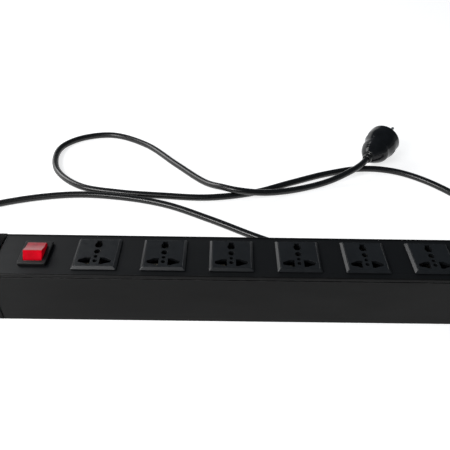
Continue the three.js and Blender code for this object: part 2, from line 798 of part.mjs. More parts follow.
// ---- mains lead --------------------------------------------------------------------------
// The lead leaves the left end, turns back behind the strip, passes along it to the right,
// comes back in a long line, loops at the left and runs over itself to the plug.
const FLOOR_Z = 4.4;
const OVER_Z = 13.1;
const cordRoute = [
  [GLAND.tip - GAP, 0, GLAND_Z],
  [-290, 2, 18.5],
  [-322, 18, 8.2],
  [-340, 52, 4.6],
  [-332, 99, FLOOR_Z],
  [-298, 132, FLOOR_Z],
  [-250, 153, FLOOR_Z],
  [-188, 165, FLOOR_Z],
  [-130, 161.2, FLOOR_Z],
  [-75, 147.5, FLOOR_Z],
  [-20, 120, FLOOR_Z],
  [40, 86, FLOOR_Z],
  [105, 58, FLOOR_Z],
  [180, 46, FLOOR_Z],
  [250, 57, FLOOR_Z],
  [294, 95, FLOOR_Z],
  [297, 148, FLOOR_Z],
  [268, 193, FLOOR_Z],
  [225, 224.5, FLOOR_Z],
  [180, 232, FLOOR_Z],
  [130, 219, FLOOR_Z],
  [80, 197, FLOOR_Z],
  [30, 174, FLOOR_Z],
  [-25, 163, FLOOR_Z],
  [-80, 165.5, FLOOR_Z],
  [-135, 170.8, FLOOR_Z],
  [-185, 183, FLOOR_Z],
  [-221, 216, FLOOR_Z],
  [-232.5, 256, FLOOR_Z],
  [-227.5, 280, FLOOR_Z],
  [-205, 301, FLOOR_Z],
  [-165, 309.5, FLOOR_Z],
  [-115, 285, FLOOR_Z],
  [-68, 235, FLOOR_Z],
  [-28, 192, 6.2],
  [-7, 175.2, 11.6],
  [13, 166.4, OVER_Z],
  [45, 168.5, 9],
  [85, 182.3, FLOOR_Z],
  [128, 198.7, 6.2],
  [157, 211.6, 13.2],
];

// The plug lies on its rim, so that its axis rises from the cord towards the pins. Its pieces
// are rolled about that axis, which puts one pin near the top and the earth clips at the sides.
const plug = new THREE.Group();
plug.rotation.order = "ZYX";
plug.rotation.z = THREE.MathUtils.degToRad(PLUG.azimuth);
plug.rotation.y = -THREE.MathUtils.degToRad(PLUG.slope);
plug.position.set(PLUG.x, PLUG.y, PLUG.z);
plug.updateMatrixWorld(true);
strip.add(plug);
const plugPieces = new THREE.Group();
plugPieces.rotation.x = THREE.MathUtils.degToRad(PLUG.roll);
plug.add(plugPieces);
const guardEnd = -PLUG_LENGTH - PLUG_GUARD.visible;
const cordApproach = [
  [-18, 1.2, 0.3],
  [-9, 0.2, 0.1],
  [-GAP, 0, 0],
].map(([back, across, up]) =>
  new THREE.Vector3(guardEnd + back, across, up).applyMatrix4(plug.matrixWorld).toArray()
);
addPiece(
  "mains_cord",
  tube([...cordRoute, ...cordApproach], CORD_RADIUS, CORD_SIDES, CORD_STEPS),
  cordRubber
);

// ---- plug --------------------------------------------------------------------------------
// Drawn along x in the plug's own group, before the roll: the contact face is at 0 and the
// cord enters at the negative end.
function plugBody() {
  const rear = -PLUG_LENGTH;
  const profile = [
    [0, rear],
    [8.6, rear],
    [11.4, rear + 4.5],
    [14.8, rear + 11.5],
    [16.7, -29],
    [19.2, -23],
    [20.6, -16],
    [21.4, -9],
    [PLUG_RADIUS, -1.5],
    [PLUG_RADIUS - 1, 0],
    [0, 0],
  ];
  let body = toManifold(turnAboutX(profile, 0, 28));
  for (const side of [-1, 1]) {
    const recess = side > 0 ? [PLUG_RADIUS - PLUG_RECESS.depth, 30] : [-30, PLUG_RECESS.depth - PLUG_RADIUS];
    body = cut(
      body,
      drumX([-PLUG_PIN.depth, 1], (side * PLUG_PIN.spacing) / 2, 0, PLUG_PIN.radius + GAP, 12),
      block([-PLUG_RECESS.length, 1], around(0, PLUG_RECESS.width / 2), recess)
    );
  }
  return cut(
    body,
    drumX([rear - 1, rear + PLUG_GUARD.length - PLUG_GUARD.visible + GAP], 0, 0, PLUG_GUARD.radius + GAP, 20)
  );
}

addPiece("plug_body", plugBody(), cordRubber, plugPieces);
for (const [name, side] of [["live", -1], ["neutral", 1]]) {
  const tip = PLUG_PIN.length;
  const profile = [
    [0, GAP - PLUG_PIN.depth],
    [PLUG_PIN.radius, GAP - PLUG_PIN.depth],
    [PLUG_PIN.radius, tip - 1.8],
    [1.2, tip],
    [0, tip],
  ];
  addPiece(
    `plug_pin_${name}`,
    turnAboutX(profile, 0, 14).translate(0, (side * PLUG_PIN.spacing) / 2, 0),
    nickel,
    plugPieces
  );
}
const clipFloor = PLUG_RADIUS - PLUG_RECESS.depth + GAP;
for (const [name, side] of [["right", 1], ["left", -1]]) {
  const strap = side > 0 ? [clipFloor + 1.2, clipFloor + 2] : [-clipFloor - 2, -clipFloor - 1.2];
  const foot = side > 0 ? [clipFloor, clipFloor + 2] : [-clipFloor - 2, -clipFloor];
  const across = around(0, 2.4);
  addPiece(
    `plug_earth_clip_${name}`,
    join(
      block([GAP - PLUG_RECESS.length, -1], across, strap),
      block([GAP - PLUG_RECESS.length, 1.2 - PLUG_RECESS.length], across, foot)
    ),
    nickel,
    plugPieces
  );
}
const guardInner = PLUG_GUARD.length - PLUG_GUARD.visible - PLUG_LENGTH;
addPiece(
  "plug_cord_guard",
  turnAboutX(
    [
      [0, guardEnd],
      [PLUG_GUARD.radius - 0.8, guardEnd],
      [PLUG_GUARD.radius, guardEnd + 2],
      [PLUG_GUARD.radius, guardInner],
      [0, guardInner],
    ],
    0,
    20
  ),
  cordRubber,
  plugPieces
);

export default strip;
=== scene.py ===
# Rack power strip: the looks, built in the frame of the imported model.
# Sizes are written in millimetres, and MM turns them into Blender's metres. +X runs along the
# strip away from the switch, +Y to its rear side, +Z out of the socket faces.
import math

import bmesh
import bpy
from mathutils import Matrix, Vector


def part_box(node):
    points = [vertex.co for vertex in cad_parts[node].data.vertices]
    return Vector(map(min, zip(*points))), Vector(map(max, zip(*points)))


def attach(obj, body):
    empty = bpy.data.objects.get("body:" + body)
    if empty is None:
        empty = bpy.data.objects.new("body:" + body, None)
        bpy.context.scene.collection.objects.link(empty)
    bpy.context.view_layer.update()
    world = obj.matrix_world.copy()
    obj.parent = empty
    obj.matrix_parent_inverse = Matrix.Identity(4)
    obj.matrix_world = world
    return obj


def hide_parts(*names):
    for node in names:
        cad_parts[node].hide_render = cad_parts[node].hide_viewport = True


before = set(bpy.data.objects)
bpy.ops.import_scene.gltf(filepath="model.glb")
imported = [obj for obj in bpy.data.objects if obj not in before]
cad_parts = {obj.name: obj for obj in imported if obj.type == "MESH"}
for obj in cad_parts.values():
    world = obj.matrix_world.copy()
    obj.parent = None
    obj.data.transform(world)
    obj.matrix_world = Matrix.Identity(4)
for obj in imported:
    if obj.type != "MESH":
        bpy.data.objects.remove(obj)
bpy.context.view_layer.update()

MM = 0.001
scene = bpy.context.scene


def box_mm(node):
    """A node's lowest and highest corners in millimetres."""
    low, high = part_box(node)
    return low / MM, high / MM


def middle(node):
    low, high = box_mm(node)
    return (low + high) / 2


def shift(*place):
    return Matrix.Translation(place)


def turn(degrees, axis):
    return Matrix.Rotation(math.radians(degrees), 4, axis)


def new_object(name, data):
    made = bpy.data.objects.new(name, data)
    scene.collection.objects.link(made)
    return made


# ---- camera ----
CAMERA_PLACE = (-9.26, -344.91, 382.47)
CAMERA_PITCH = 39.68  # degrees below the horizon
CAMERA_YAW = -0.68
CAMERA_ROLL = 1.24
CAMERA_LENS = 41.36
CAMERA_SENSOR = 36  # its width


def add_camera():
    data = bpy.data.cameras.new("camera")
    data.lens = CAMERA_LENS
    data.sensor_width = CAMERA_SENSOR
    data.clip_start = 0.01
    camera = new_object("camera", data)
    camera.matrix_world = (
        shift(*(Vector(CAMERA_PLACE) * MM))
        @ turn(CAMERA_YAW, "Z") @ turn(90 - CAMERA_PITCH, "X") @ turn(CAMERA_ROLL, "Z")
    )
    scene.camera = camera


add_camera()


# ---- materials ----
def grey(value, tint=(1.0, 1.0, 1.0)):
    return tuple(value * part for part in tint)


def add_node(tree, kind, **inputs):
    """A node with the named inputs set: a socket is linked, anything else is a value."""
    made = tree.nodes.new(kind)
    for name, value in inputs.items():
        socket = made.inputs[name.replace("_", " ")]
        if isinstance(value, bpy.types.NodeSocket):
            tree.links.new(value, socket)
        else:
            socket.default_value = value
    return made


def noise(tree, place, scale, detail=3.0, stretch=(1, 1, 1)):
    """Noise whose features are about 1/scale metres, drawn out where stretch is below 1."""
    mapped = add_node(tree, "ShaderNodeMapping", Vector=place, Scale=stretch)
    return add_node(
        tree, "ShaderNodeTexNoise", Vector=mapped.outputs[0], Scale=scale, Detail=detail
    ).outputs["Fac"]


NOISE_RANGE = (0.3, 0.7)  # most of a noise texture's values lie between these


def map_range(tree, value, before, after):
    """A value carried from one range to another."""
    return add_node(
        tree, "ShaderNodeMapRange", Value=value,
        From_Min=before[0], From_Max=before[1], To_Min=after[0], To_Max=after[1],
    ).outputs["Result"]


def mixed(tree, share, first, second):
    made = tree.nodes.new("ShaderNodeMix")
    made.data_type = "RGBA"
    tree.links.new(share, made.inputs["Factor"])
    made.inputs["A"].default_value = (*first, 1)
    made.inputs["B"].default_value = (*second, 1)
    return made.outputs["Result"]


LOOKS = {}  # every material by its name


def look(
    name, dark, light, rough, metallic=0.0, specular=0.5, transmission=0.0,
    mottle=60, mottle_stretch=(1, 1, 1), grain=1800, grain_depth=0.02, grain_stretch=(1, 1, 1),
    glow=None,
):
    """A surface that varies between two colours and two roughnesses, with a fine relief.
    Mottle and grain say how many patches lie in a metre, grain_depth is in millimetres, and
    glow is a colour and a strength."""
    made = LOOKS[name] = bpy.data.materials.new(name)
    made.use_nodes = True
    tree = made.node_tree
    tree.nodes.clear()
    place = add_node(tree, "ShaderNodeTexCoord").outputs["Object"]
    patches = noise(tree, place, mottle, 4.0, mottle_stretch)
    wear = noise(tree, place, mottle * 3, 3.0, mottle_stretch)
    relief = noise(tree, place, grain, 2.0, grain_stretch)
    bump = add_node(
        tree, "ShaderNodeBump", Height=relief, Strength=0.6, Distance=grain_depth * MM
    )
    share = map_range(tree, patches, NOISE_RANGE, (0.0, 1.0))
    shader = add_node(
        tree, "ShaderNodeBsdfPrincipled", Base_Color=mixed(tree, share, dark, light),
        Roughness=map_range(tree, wear, NOISE_RANGE, rough), Normal=bump.outputs["Normal"],
        Metallic=metallic, Specular_IOR_Level=specular, Transmission_Weight=transmission,
    )
    if glow:
        shader.inputs["Emission Color"].default_value = (*glow[0], 1)
        shader.inputs["Emission Strength"].default_value = glow[1]
    out = add_node(tree, "ShaderNodeOutputMaterial", Surface=shader.outputs["BSDF"])
    out.is_active_output = True
    return made


BLUISH = (0.9, 1.0, 1.15)
RED_LIGHT = (1.0, 0.0, 0.02)
ALONG = (0.02, 1, 1)  # streaks that run along the strip
EXTRUDED = {"mottle": 18, "mottle_stretch": (0.25, 1, 1), "grain": 2600, "grain_depth": 0.012,
            "grain_stretch": ALONG}
EDGE = {"mottle": 160, "grain": 3000, "grain_depth": 0.01}
MOULDED = {"mottle": 70, "grain": 1700, "grain_depth": 0.03}
DRAWN = {"metallic": 1.0, "mottle": 150, "grain": 3000, "grain_depth": 0.008,
         "grain_stretch": ALONG}

look("black_aluminium", grey(0.0035), grey(0.0055), (0.42, 0.54), specular=0.1, **EXTRUDED)
look("panel_aluminium", grey(0.0035, BLUISH), grey(0.005, BLUISH), (0.46, 0.56), specular=0.2,
     **EXTRUDED)
look("worn_edge", grey(0.02), grey(0.06), (0.28, 0.42), metallic=0.7, **EDGE)
# A painted highlight: a lighter, glossier look for the channel's rounded top corners, so they show
# as a bright line.
look("lip_edge_highlight", grey(0.004), grey(0.008), (0.34, 0.46), specular=0.17, **EDGE)
look("sawn_edge", grey(0.008), grey(0.014), (0.4, 0.5), specular=0.42, **EDGE)
look("cap_plastic", grey(0.001), grey(0.002), (0.4, 0.55), specular=0.07,
     mottle=90, grain=1500, grain_depth=0.05)
look("black_steel", grey(0.007), grey(0.012), (0.4, 0.5), specular=0.4,
     grain=1200, grain_depth=0.05)
look("zinc_steel", (0.45, 0.45, 0.46), (0.62, 0.6, 0.55), (0.22, 0.36), metallic=1.0,
     mottle=400, grain=2500, grain_depth=0.01)
look("nickel", (0.6, 0.59, 0.56), (0.74, 0.73, 0.7), (0.14, 0.28), metallic=1.0,
     mottle=200, grain=2600, grain_depth=0.008)
look("brass", (0.66, 0.42, 0.14), (0.85, 0.62, 0.3), (0.18, 0.32), **DRAWN)
look("tinned_brass", (0.6, 0.55, 0.45), (0.78, 0.74, 0.66), (0.2, 0.34), **DRAWN)
look("socket_plastic", grey(0.006, BLUISH), grey(0.009, BLUISH), (0.3, 0.4), specular=0.42,
     **MOULDED)
look("bezel_plastic", grey(0.005), grey(0.007), (0.36, 0.46), specular=0.27, **MOULDED)
look("white_plastic", (0.62, 0.61, 0.56), (0.72, 0.71, 0.66), (0.4, 0.5),
     grain=1500, grain_depth=0.03)
look("red_plastic", (0.4, 0.0, 0.006), (0.58, 0.0, 0.01), (0.18, 0.3), specular=0.05,
     mottle=160, grain=900, grain_depth=0.01, glow=(RED_LIGHT, 0.11))
# A painted sheen: a darker, far glossier red for the rocker's top facets, so they show a pale
# reflection.
look("red_top_sheen", (0.16, 0.006, 0.012), (0.3, 0.004, 0.012), (0.26, 0.42), specular=0.75,
     mottle=220, grain=900, glow=(RED_LIGHT, 0.05))
look("lamp_glass", (0.9, 0.5, 0.3), (1.0, 0.62, 0.42), (0.05, 0.1), transmission=0.6,
     mottle=200, grain=900, grain_depth=0.004, glow=((1.0, 0.35, 0.12), 1.5))
look("cord_rubber", grey(0.0025), grey(0.005), (0.21, 0.31), specular=0.46,
     mottle=140, grain=1400, grain_depth=0.03)
look("plug_rubber", grey(0.004, BLUISH), grey(0.007, BLUISH), (0.1, 0.18), specular=0.26,
     mottle=90, grain=420, grain_depth=0.05)
look("wire_brown", (0.1, 0.035, 0.012), (0.14, 0.05, 0.02), (0.35, 0.45), mottle=150)
look("wire_blue", (0.02, 0.1, 0.34), (0.03, 0.14, 0.44), (0.35, 0.45), mottle=150)
look("wire_green", (0.08, 0.34, 0.05), (0.62, 0.56, 0.04), (0.35, 0.45),
     mottle=160, mottle_stretch=(0.15, 1, 1))


# ---- shapes ----
# An outline is a list of pairs in millimetres; a mesh is kept in millimetres until it is placed.
PLACES = {
    "x": lambda a, b, along: (along, a, b),
    "y": lambda a, b, along: (a, along, b),
    "z": lambda a, b, along: (a, b, along),
}


def arc(centre_a, centre_b, radius, start, end, steps=8):
    """Points on a round stretch, from one angle to another in degrees."""
    points = []
    for step in range(steps + 1):
        angle = math.radians(start + (end - start) * step / steps)
        points.append((centre_a + radius * math.cos(angle), centre_b + radius * math.sin(angle)))
    return points


def rounded_rectangle(centre_a, centre_b, width, height, radius, steps=6):
    a, b = width / 2 - radius, height / 2 - radius
    corners = [(a, -b, -90), (a, b, 0), (-a, b, 90), (-a, -b, 180)]
    return [
        point
        for side, level, start in corners
        for point in arc(centre_a + side, centre_b + level, radius, start, start + 90, steps)
    ]


def ring_mesh(rings, loop=False):
    """Rings of equally many points joined in turn, closed at both ends or into a loop."""
    mesh = bmesh.new()
    rows = [[mesh.verts.new(point) for point in ring] for ring in rings]
    count = len(rows[0])
    pairs = list(zip(rows, rows[1:] + rows[:1])) if loop else list(zip(rows, rows[1:]))
    for lower, upper in pairs:
        for k in range(count):
            after = (k + 1) % count
            mesh.faces.new((lower[k], lower[after], upper[after], upper[k]))
    if not loop:
        mesh.faces.new(rows[0][::-1])
        mesh.faces.new(rows[-1])
    bmesh.ops.recalc_face_normals(mesh, faces=mesh.faces)
    return mesh


def prism(outline, low, high, axis="z"):
    put = PLACES[axis]
    return ring_mesh([[put(a, b, along) for a, b in outline] for along in (low, high)])


def block(centre, size):
    cx, cy, cz = centre
    sx, sy, sz = (side / 2 for side in size)
    outline = [(cx - sx, cy - sy), (cx + sx, cy - sy), (cx + sx, cy + sy), (cx - sx, cy + sy)]
    return prism(outline, cz - sz, cz + sz)


def drum(a, b, radius, low, high, axis="z", sides=40):
    return prism(arc(a, b, radius, 0, 360 * (1 - 1 / sides), sides - 1), low, high, axis)


def stack(levels, centre_a=0.0, centre_b=0.0, axis="z", steps=6):
    """Rounded rectangles (width, height, corner radius, place along the axis), one on another."""
    put = PLACES[axis]
    return ring_mesh([
        [put(a, b, along) for a, b in rounded_rectangle(centre_a, centre_b, w, h, r, steps)]
        for w, h, r, along in levels
    ])


def turned(profile, sides=64, pipe=False, shape=None):
    """A profile of (radius, place along x) turned about the x axis. A pipe's profile is a loop.
    shape(radius, along, angle) may change the radius with the angle."""
    rings = []
    for radius, along in profile:
        ring = []
        for side in range(sides):
            angle = 2 * math.pi * side / sides
            out = shape(radius, along, angle) if shape else radius
            ring.append((along, out * math.cos(angle), out * math.sin(angle)))
        rings.append(ring)
    return ring_mesh(rings, loop=pipe)


def bent_sheet(path, thickness, low, high, axis="x"):
    """A strip of sheet metal that follows a path of pairs, between two places on an axis."""
    sides = ([], [])
    for k, point in enumerate(path):
        before, after = path[max(k - 1, 0)], path[min(k + 1, len(path) - 1)]
        run = Vector((after[0] - before[0], after[1] - before[1])).normalized()
        off = Vector((-run.y, run.x)) * thickness / 2
        sides[0].append((point[0] + off.x, point[1] + off.y))
        sides[1].append((point[0] - off.x, point[1] - off.y))
    return prism(sides[0] + sides[1][::-1], low, high, axis)


def smooth_line(points, per_span=12):
    """Points along a curve that passes through every given point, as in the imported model."""
    points = [Vector(point) for point in points]
    line = []
    for k in range(len(points) - 1):
        here, there = points[k], points[k + 1]
        before = points[k - 1] if k else 2 * here - there
        after = points[k + 2] if k + 2 < len(points) else 2 * there - here
        gaps = [max((b - a).length ** 0.5, 1e-6) for a, b in
                ((before, here), (here, there), (there, after))]
        leave = (here - before) / gaps[0] - (there - before) / (gaps[0] + gaps[1])
        leave = (leave + (there - here) / gaps[1]) * gaps[1]
        arrive = (there - here) / gaps[1] - (after - here) / (gaps[1] + gaps[2])
        arrive = (arrive + (after - there) / gaps[2]) * gaps[1]
        for step in range(per_span):
            t = step / per_span
            line.append(
                here + leave * t
                + (3 * (there - here) - 2 * leave - arrive) * t * t
                + (2 * (here - there) + leave + arrive) * t ** 3
            )
    line.append(points[-1])
    return line


def tube(points, radius, sides=16, per_span=8):
    """A round wire along a smooth line."""
    line = smooth_line(points, per_span)
    side = Vector((0, 0, 1))
    rings = []
    for k, place in enumerate(line):
        run = (line[min(k + 1, len(line) - 1)] - line[max(k - 1, 0)]).normalized()
        side = (side - run * side.dot(run)).normalized()
        other = run.cross(side)
        rings.append([
            place + radius * (side * math.cos(angle) + other * math.sin(angle))
            for angle in (2 * math.pi * step / sides for step in range(sides))
        ])
    return ring_mesh(rings)


def as_object(name, mesh, look_name=None):
    data = bpy.data.meshes.new(name)
    mesh.to_mesh(data)
    mesh.free()
    if look_name:
        data.materials.append(LOOKS[look_name])
    return new_object(name, data)


def apply_modifiers(piece):
    graph = bpy.context.evaluated_depsgraph_get()
    data = bpy.data.meshes.new_from_object(
        piece.evaluated_get(graph), preserve_all_data_layers=True, depsgraph=graph
    )
    old = piece.data
    piece.modifiers.clear()
    piece.data = data
    bpy.data.meshes.remove(old)


def combine(piece, operation, *tools):
    """Cuts the tools' shapes out of the piece, or joins them to it."""
    helpers = [as_object("tool", tool) for tool in tools]
    for helper in helpers:
        change = piece.modifiers.new("combine", "BOOLEAN")
        change.operation = operation
        change.solver = "EXACT"
        change.object = helper
    apply_modifiers(piece)
    for helper in helpers:
        data = helper.data
        bpy.data.objects.remove(helper)
        bpy.data.meshes.remove(data)
    return piece


def cut(piece, *tools):
    return combine(piece, "DIFFERENCE", *tools)


def weld(piece, *tools):
    return combine(piece, "UNION", *tools)


def rounded(piece, width, segments=2, angle=32, edge_look=None):
    """Rounds every edge that turns by more than the angle, and shades the rest smoothly."""
    piece.data.shade_smooth()
    if edge_look:
        piece.data.materials.append(LOOKS[edge_look])
    bevel = piece.modifiers.new("bevel", "BEVEL")
    bevel.width = width
    bevel.segments = segments
    bevel.limit_method = "ANGLE"
    bevel.angle_limit = math.radians(angle)
    bevel.use_clamp_overlap = True
    bevel.miter_outer = "MITER_ARC"
    if edge_look:
        bevel.material = len(piece.data.materials) - 1
    normals = piece.modifiers.new("normals", "WEIGHTED_NORMAL")
    normals.keep_sharp = True
    apply_modifiers(piece)
    return piece


def paint_where(piece, name, chosen):
    """Gives another look to the facets that the test picks."""
    piece.data.materials.append(LOOKS[name])
    for facet in piece.data.polygons:
        if chosen(facet):
            facet.material_index = len(piece.data.materials) - 1


BARE_END = 1.3  # the strip along a sawn end that the finish has left


def slice_ends(piece, low, high):
    """Cuts facets where the bare strips begin, at both ends of a piece that runs along x."""
    shape = bmesh.new()
    shape.from_mesh(piece.data)
    for place in (low + BARE_END, high - BARE_END):
        everything = [*shape.verts, *shape.edges, *shape.faces]
        bmesh.ops.bisect_plane(shape, geom=everything, plane_co=(place, 0, 0), plane_no=(1, 0, 0))
    shape.to_mesh(piece.data)
    shape.free()


def bare_ends(piece, low, high):
    """Paints the top of the bare strips, once the edges are rounded."""
    paint_where(
        piece, "sawn_edge",
        lambda facet: facet.normal.z > 0.5
        and not low + BARE_END < facet.center.x < high - BARE_END,
    )


def placed(piece, node, body="strip", at=None):
    """Puts a finished piece in the frame: metres, its body and what it stands for."""
    if at is not None:
        piece.data.transform(at)
    piece.data.transform(Matrix.Scale(MM, 4))
    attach(piece, body)
    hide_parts(node)
    return piece


# ---- mains cord and plug frame ----
PLUG_FACE = (214.8, 278.9, 22.2)
PLUG_AZIMUTH = 53
PLUG_SLOPE = 6
PLUG_ROLL = 108
PLUG_LENGTH = 48.5
PLUG_GUARD = {"visible": 6, "length": 13, "radius": 6.4}
CORD_RADIUS = 4.1
FLOOR_Z = 4.4  # the cord's middle where it lies on the floor
OVER_Z = 13.1  # and where it passes over itself

# The plug's axis is its own x, which points out of its face.
plug_axis = shift(*PLUG_FACE) @ turn(PLUG_AZIMUTH, "Z") @ turn(-PLUG_SLOPE, "Y")
plug_frame = plug_axis @ turn(PLUG_ROLL, "X")
guard_end = -PLUG_LENGTH - PLUG_GUARD["visible"]

# The cord's route along its middle. A point with no height lies on the floor.
CORD_ROUTE = [(*point, FLOOR_Z)[:3] for point in (
    (-258.3, 0, 24), (-290, 2, 18.5), (-322, 18, 8.2), (-340, 52, 4.6), (-332, 99), (-298, 132),
    (-250, 153), (-188, 165), (-130, 161.2), (-75, 147.5), (-20, 120), (40, 86), (105, 58),
    (180, 46), (250, 57), (294, 95), (297, 148), (268, 193), (225, 224.5), (180, 232), (130, 219),
    (80, 197), (30, 174), (-25, 163), (-80, 165.5), (-135, 170.8), (-185, 183), (-221, 216),
    (-232.5, 256), (-227.5, 280), (-205, 301), (-165, 309.5), (-115, 285), (-68, 235),
    (-28, 192, 6.2), (-7, 175.2, 11.6), (13, 166.4, OVER_Z), (45, 168.5, 9), (85, 182.3),
    (128, 198.7, 6.2), (157, 211.6, 13.2),
)]
CORD_APPROACH = [(-18, 1.2, 0.3), (-9, 0.2, 0.1), (-0.3, 0, 0)]  # from the plug's cord guard


def add_cord():
    last = [plug_axis @ Vector((guard_end + back, y, z)) for back, y, z in CORD_APPROACH]
    line = smooth_line([*CORD_ROUTE, *last])
    data = bpy.data.curves.new("mains_lead", "CURVE")
    data.dimensions = "3D"
    data.bevel_depth = CORD_RADIUS * MM
    data.bevel_resolution = 5
    data.use_fill_caps = True
    spline = data.splines.new("POLY")
    spline.points.add(len(line) - 1)
    for point, place in zip(spline.points, line):
        point.co = (*(place * MM), 1)
    spline.use_smooth = True
    data.materials.append(LOOKS["cord_rubber"])
    lead = new_object("mains_lead", data)
    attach(lead, "strip")
    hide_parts("mains_cord")
    length = sum((b - a).length for a, b in zip(line, line[1:])) * MM
    return lead, length


mains_lead, lead_length = add_cord()


# ---- channel and panel ----
CHANNEL = {
    "wall": 2, "lip": 1.8, "ledge": 3, "edge": 1.2, "boss": 3.4, "hole": 2.2,
    "ledge_thickness": 1.4, "ledge_root": 2.6,
    "groove_below": 2.7, "groove_height": 1.4, "groove_depth": 1.0, "groove_bevel": 0.15,
    "panel_depth": 0.5, "panel_thickness": 1.8,
}
GAP = 0.3  # between a piece and the hole that holds it
EARTH_SCREW = {"hole": 2, "seat": 3.6, "seat_depth": 0.25, "shank": 1.7, "head": 3.6, "pitch": 1}
CORNER_LEAN = (0.35, 0.87)  # the upward part of a normal on the rounded top corners that get the painted highlight


def channel_outline(half_width, height, screw_y, screw_z):
    """The extrusion's section in y and z: half of it, then its mirror image."""
    c = CHANNEL
    inner = half_width - c["wall"]
    lip_inner = half_width - c["lip"]
    ledge_inner = lip_inner - c["ledge"]
    ledge_top = height - c["panel_depth"] - c["panel_thickness"] - GAP
    groove_top = height - c["groove_below"]
    groove_low = groove_top - c["groove_height"]
    groove_floor = half_width - c["groove_depth"]
    half = [
        (0, 0),
        *arc(half_width - c["edge"], c["edge"], c["edge"], -90, 0, 6),
        (half_width, groove_low),
        (groove_floor, groove_low + c["groove_bevel"]),
        (groove_floor, groove_top - c["groove_bevel"]),
        (half_width, groove_top),
        *arc(half_width - c["edge"], height - c["edge"], c["edge"], 0, 90, 6),
        (lip_inner, height),
        (lip_inner, ledge_top),
        (ledge_inner, ledge_top),
        (ledge_inner, ledge_top - c["ledge_thickness"]),
        (inner, ledge_top - c["ledge_root"]),
        (inner, screw_z + c["boss"]),
        *arc(screw_y, screw_z, c["boss"], 90, 270, 12),
        (inner, screw_z - c["boss"]),
        (inner, c["wall"]),
        (0, c["wall"]),
    ]
    return half + [(-y, z) for y, z in half[-2:0:-1]]


def screw_drums(screw, radius, reach):
    """Drums along x, on the axes of an end's two screws."""
    return [drum(y, screw.z, radius, *reach, "x") for y in (-screw.y, screw.y)]


def add_channel():
    low, high = box_mm("base_channel")
    screw = middle("end_screw_right_rear")
    outline = channel_outline(high.y, high.z, screw.y, screw.z)
    piece = as_object("channel", prism(outline, low.x, high.x, "x"), "black_aluminium")
    earth = middle("earth_screw")
    cut(
        piece,
        *screw_drums(screw, CHANNEL["hole"], (low.x - 1, high.x + 1)),
        drum(earth.x, earth.y, EARTH_SCREW["hole"], -1, CHANNEL["wall"] + 1),
        drum(earth.x, earth.y, EARTH_SCREW["seat"], -1, EARTH_SCREW["seat_depth"]),
    )
    slice_ends(piece, low.x, high.x)
    rounded(piece, 0.22, edge_look="worn_edge")
    corner = high.z - CHANNEL["edge"]
    # Painted highlight: the rounded top corners, picked by how far their facets lean up, get the
    # lighter, glossier look.
    paint_where(
        piece, "lip_edge_highlight",
        lambda facet: facet.center.z > corner and abs(facet.normal.y) > 0.3
        and CORNER_LEAN[0] < facet.normal.z < CORNER_LEAN[1],
    )
    bare_ends(piece, low.x, high.x)
    placed(piece, "base_channel")


def socket_centres():
    return [middle(f"socket_face_{k}").x for k in range(1, 7)]


SOCKET_OPENING = 36.6
SWITCH_OPENING = (23, 28.6)


def add_panel():
    low, high = box_mm("socket_panel")
    depth = high.z - low.z
    centre = (low + high) / 2
    piece = as_object("panel", block(centre, high - low), "panel_aluminium")
    switch = middle("switch_housing")
    openings = [
        block((x, 0, centre.z), (SOCKET_OPENING, SOCKET_OPENING, depth + 2))
        for x in socket_centres()
    ]
    openings.append(block((switch.x, switch.y, centre.z), (*SWITCH_OPENING, depth + 2)))
    cut(piece, *openings)
    slice_ends(piece, low.x, high.x)
    rounded(piece, 0.18, edge_look="worn_edge")
    bare_ends(piece, low.x, high.x)
    placed(piece, "socket_panel")


# ---- end caps, ears and screws ----
CAP = {"corner": 2.6, "wall": 3.6, "plate": 4.2, "soft": 0.9}
EAR = {"thickness": 2, "bend": 3, "slot_length": 10, "slot_width": 6.8, "corner": 3}
RACK_HOLE_X = 232.55
RACK_SLOT_Y = 15.875
GLAND_Z = 24
GLAND_NECK = 8


def add_end_cap(end, side):
    low, high = box_mm(f"end_cap_{end}")
    screw = middle(f"end_screw_{end}_rear")
    width, height = high.y - low.y, high.z - low.z
    inner, outer = (low.x, high.x) if side > 0 else (high.x, low.x)
    levels = [
        (width - less, height - less, CAP["corner"], x)
        for less, x in ((0, inner), (0, outer - side * CAP["soft"]), (0.5, outer - side * 0.3),
                        (1.6, outer))
    ]
    piece = as_object(f"cap_{end}", stack(levels, 0, height / 2, "x"), "cap_plastic")
    ear_low, ear_high = box_mm(f"mounting_ear_{end}")
    ear_inner = min(abs(ear_low.x), abs(ear_high.x)) - GAP
    pocket = (abs(inner) - 1, abs(outer) - CAP["plate"])
    recess = (ear_inner, abs(outer) + 1)

    def slab(reach, size_y, z0, z1):
        centre = (side * sum(reach) / 2, 0, (z0 + z1) / 2)
        return block(centre, (reach[1] - reach[0], size_y, z1 - z0))

    tools = [
        slab(pocket, width - 2 * CAP["wall"], CAP["wall"], height - CAP["wall"]),
        slab(recess, ear_high.y - ear_low.y + 2 * GAP, ear_low.z - GAP, height + 1),
    ]
    cut(piece, *tools)
    through = sorted((inner - side, outer + side))
    boss = sorted((inner, side * (ear_inner - 1)))
    weld(piece, *screw_drums(screw, CHANNEL["boss"], boss))
    holes = screw_drums(screw, CHANNEL["hole"], through)
    if side < 0:
        holes.append(drum(0, GLAND_Z, GLAND_NECK + GAP, *through, "x"))
    cut(piece, *holes)
    rounded(piece, 0.3)
    placed(piece, f"end_cap_{end}")


def slot_outline(x, y):
    radius = EAR["slot_width"] / 2
    reach = EAR["slot_length"] / 2 - radius
    return arc(x - reach, y, radius, 90, 270, 14) + arc(x + reach, y, radius, -90, 90, 14)


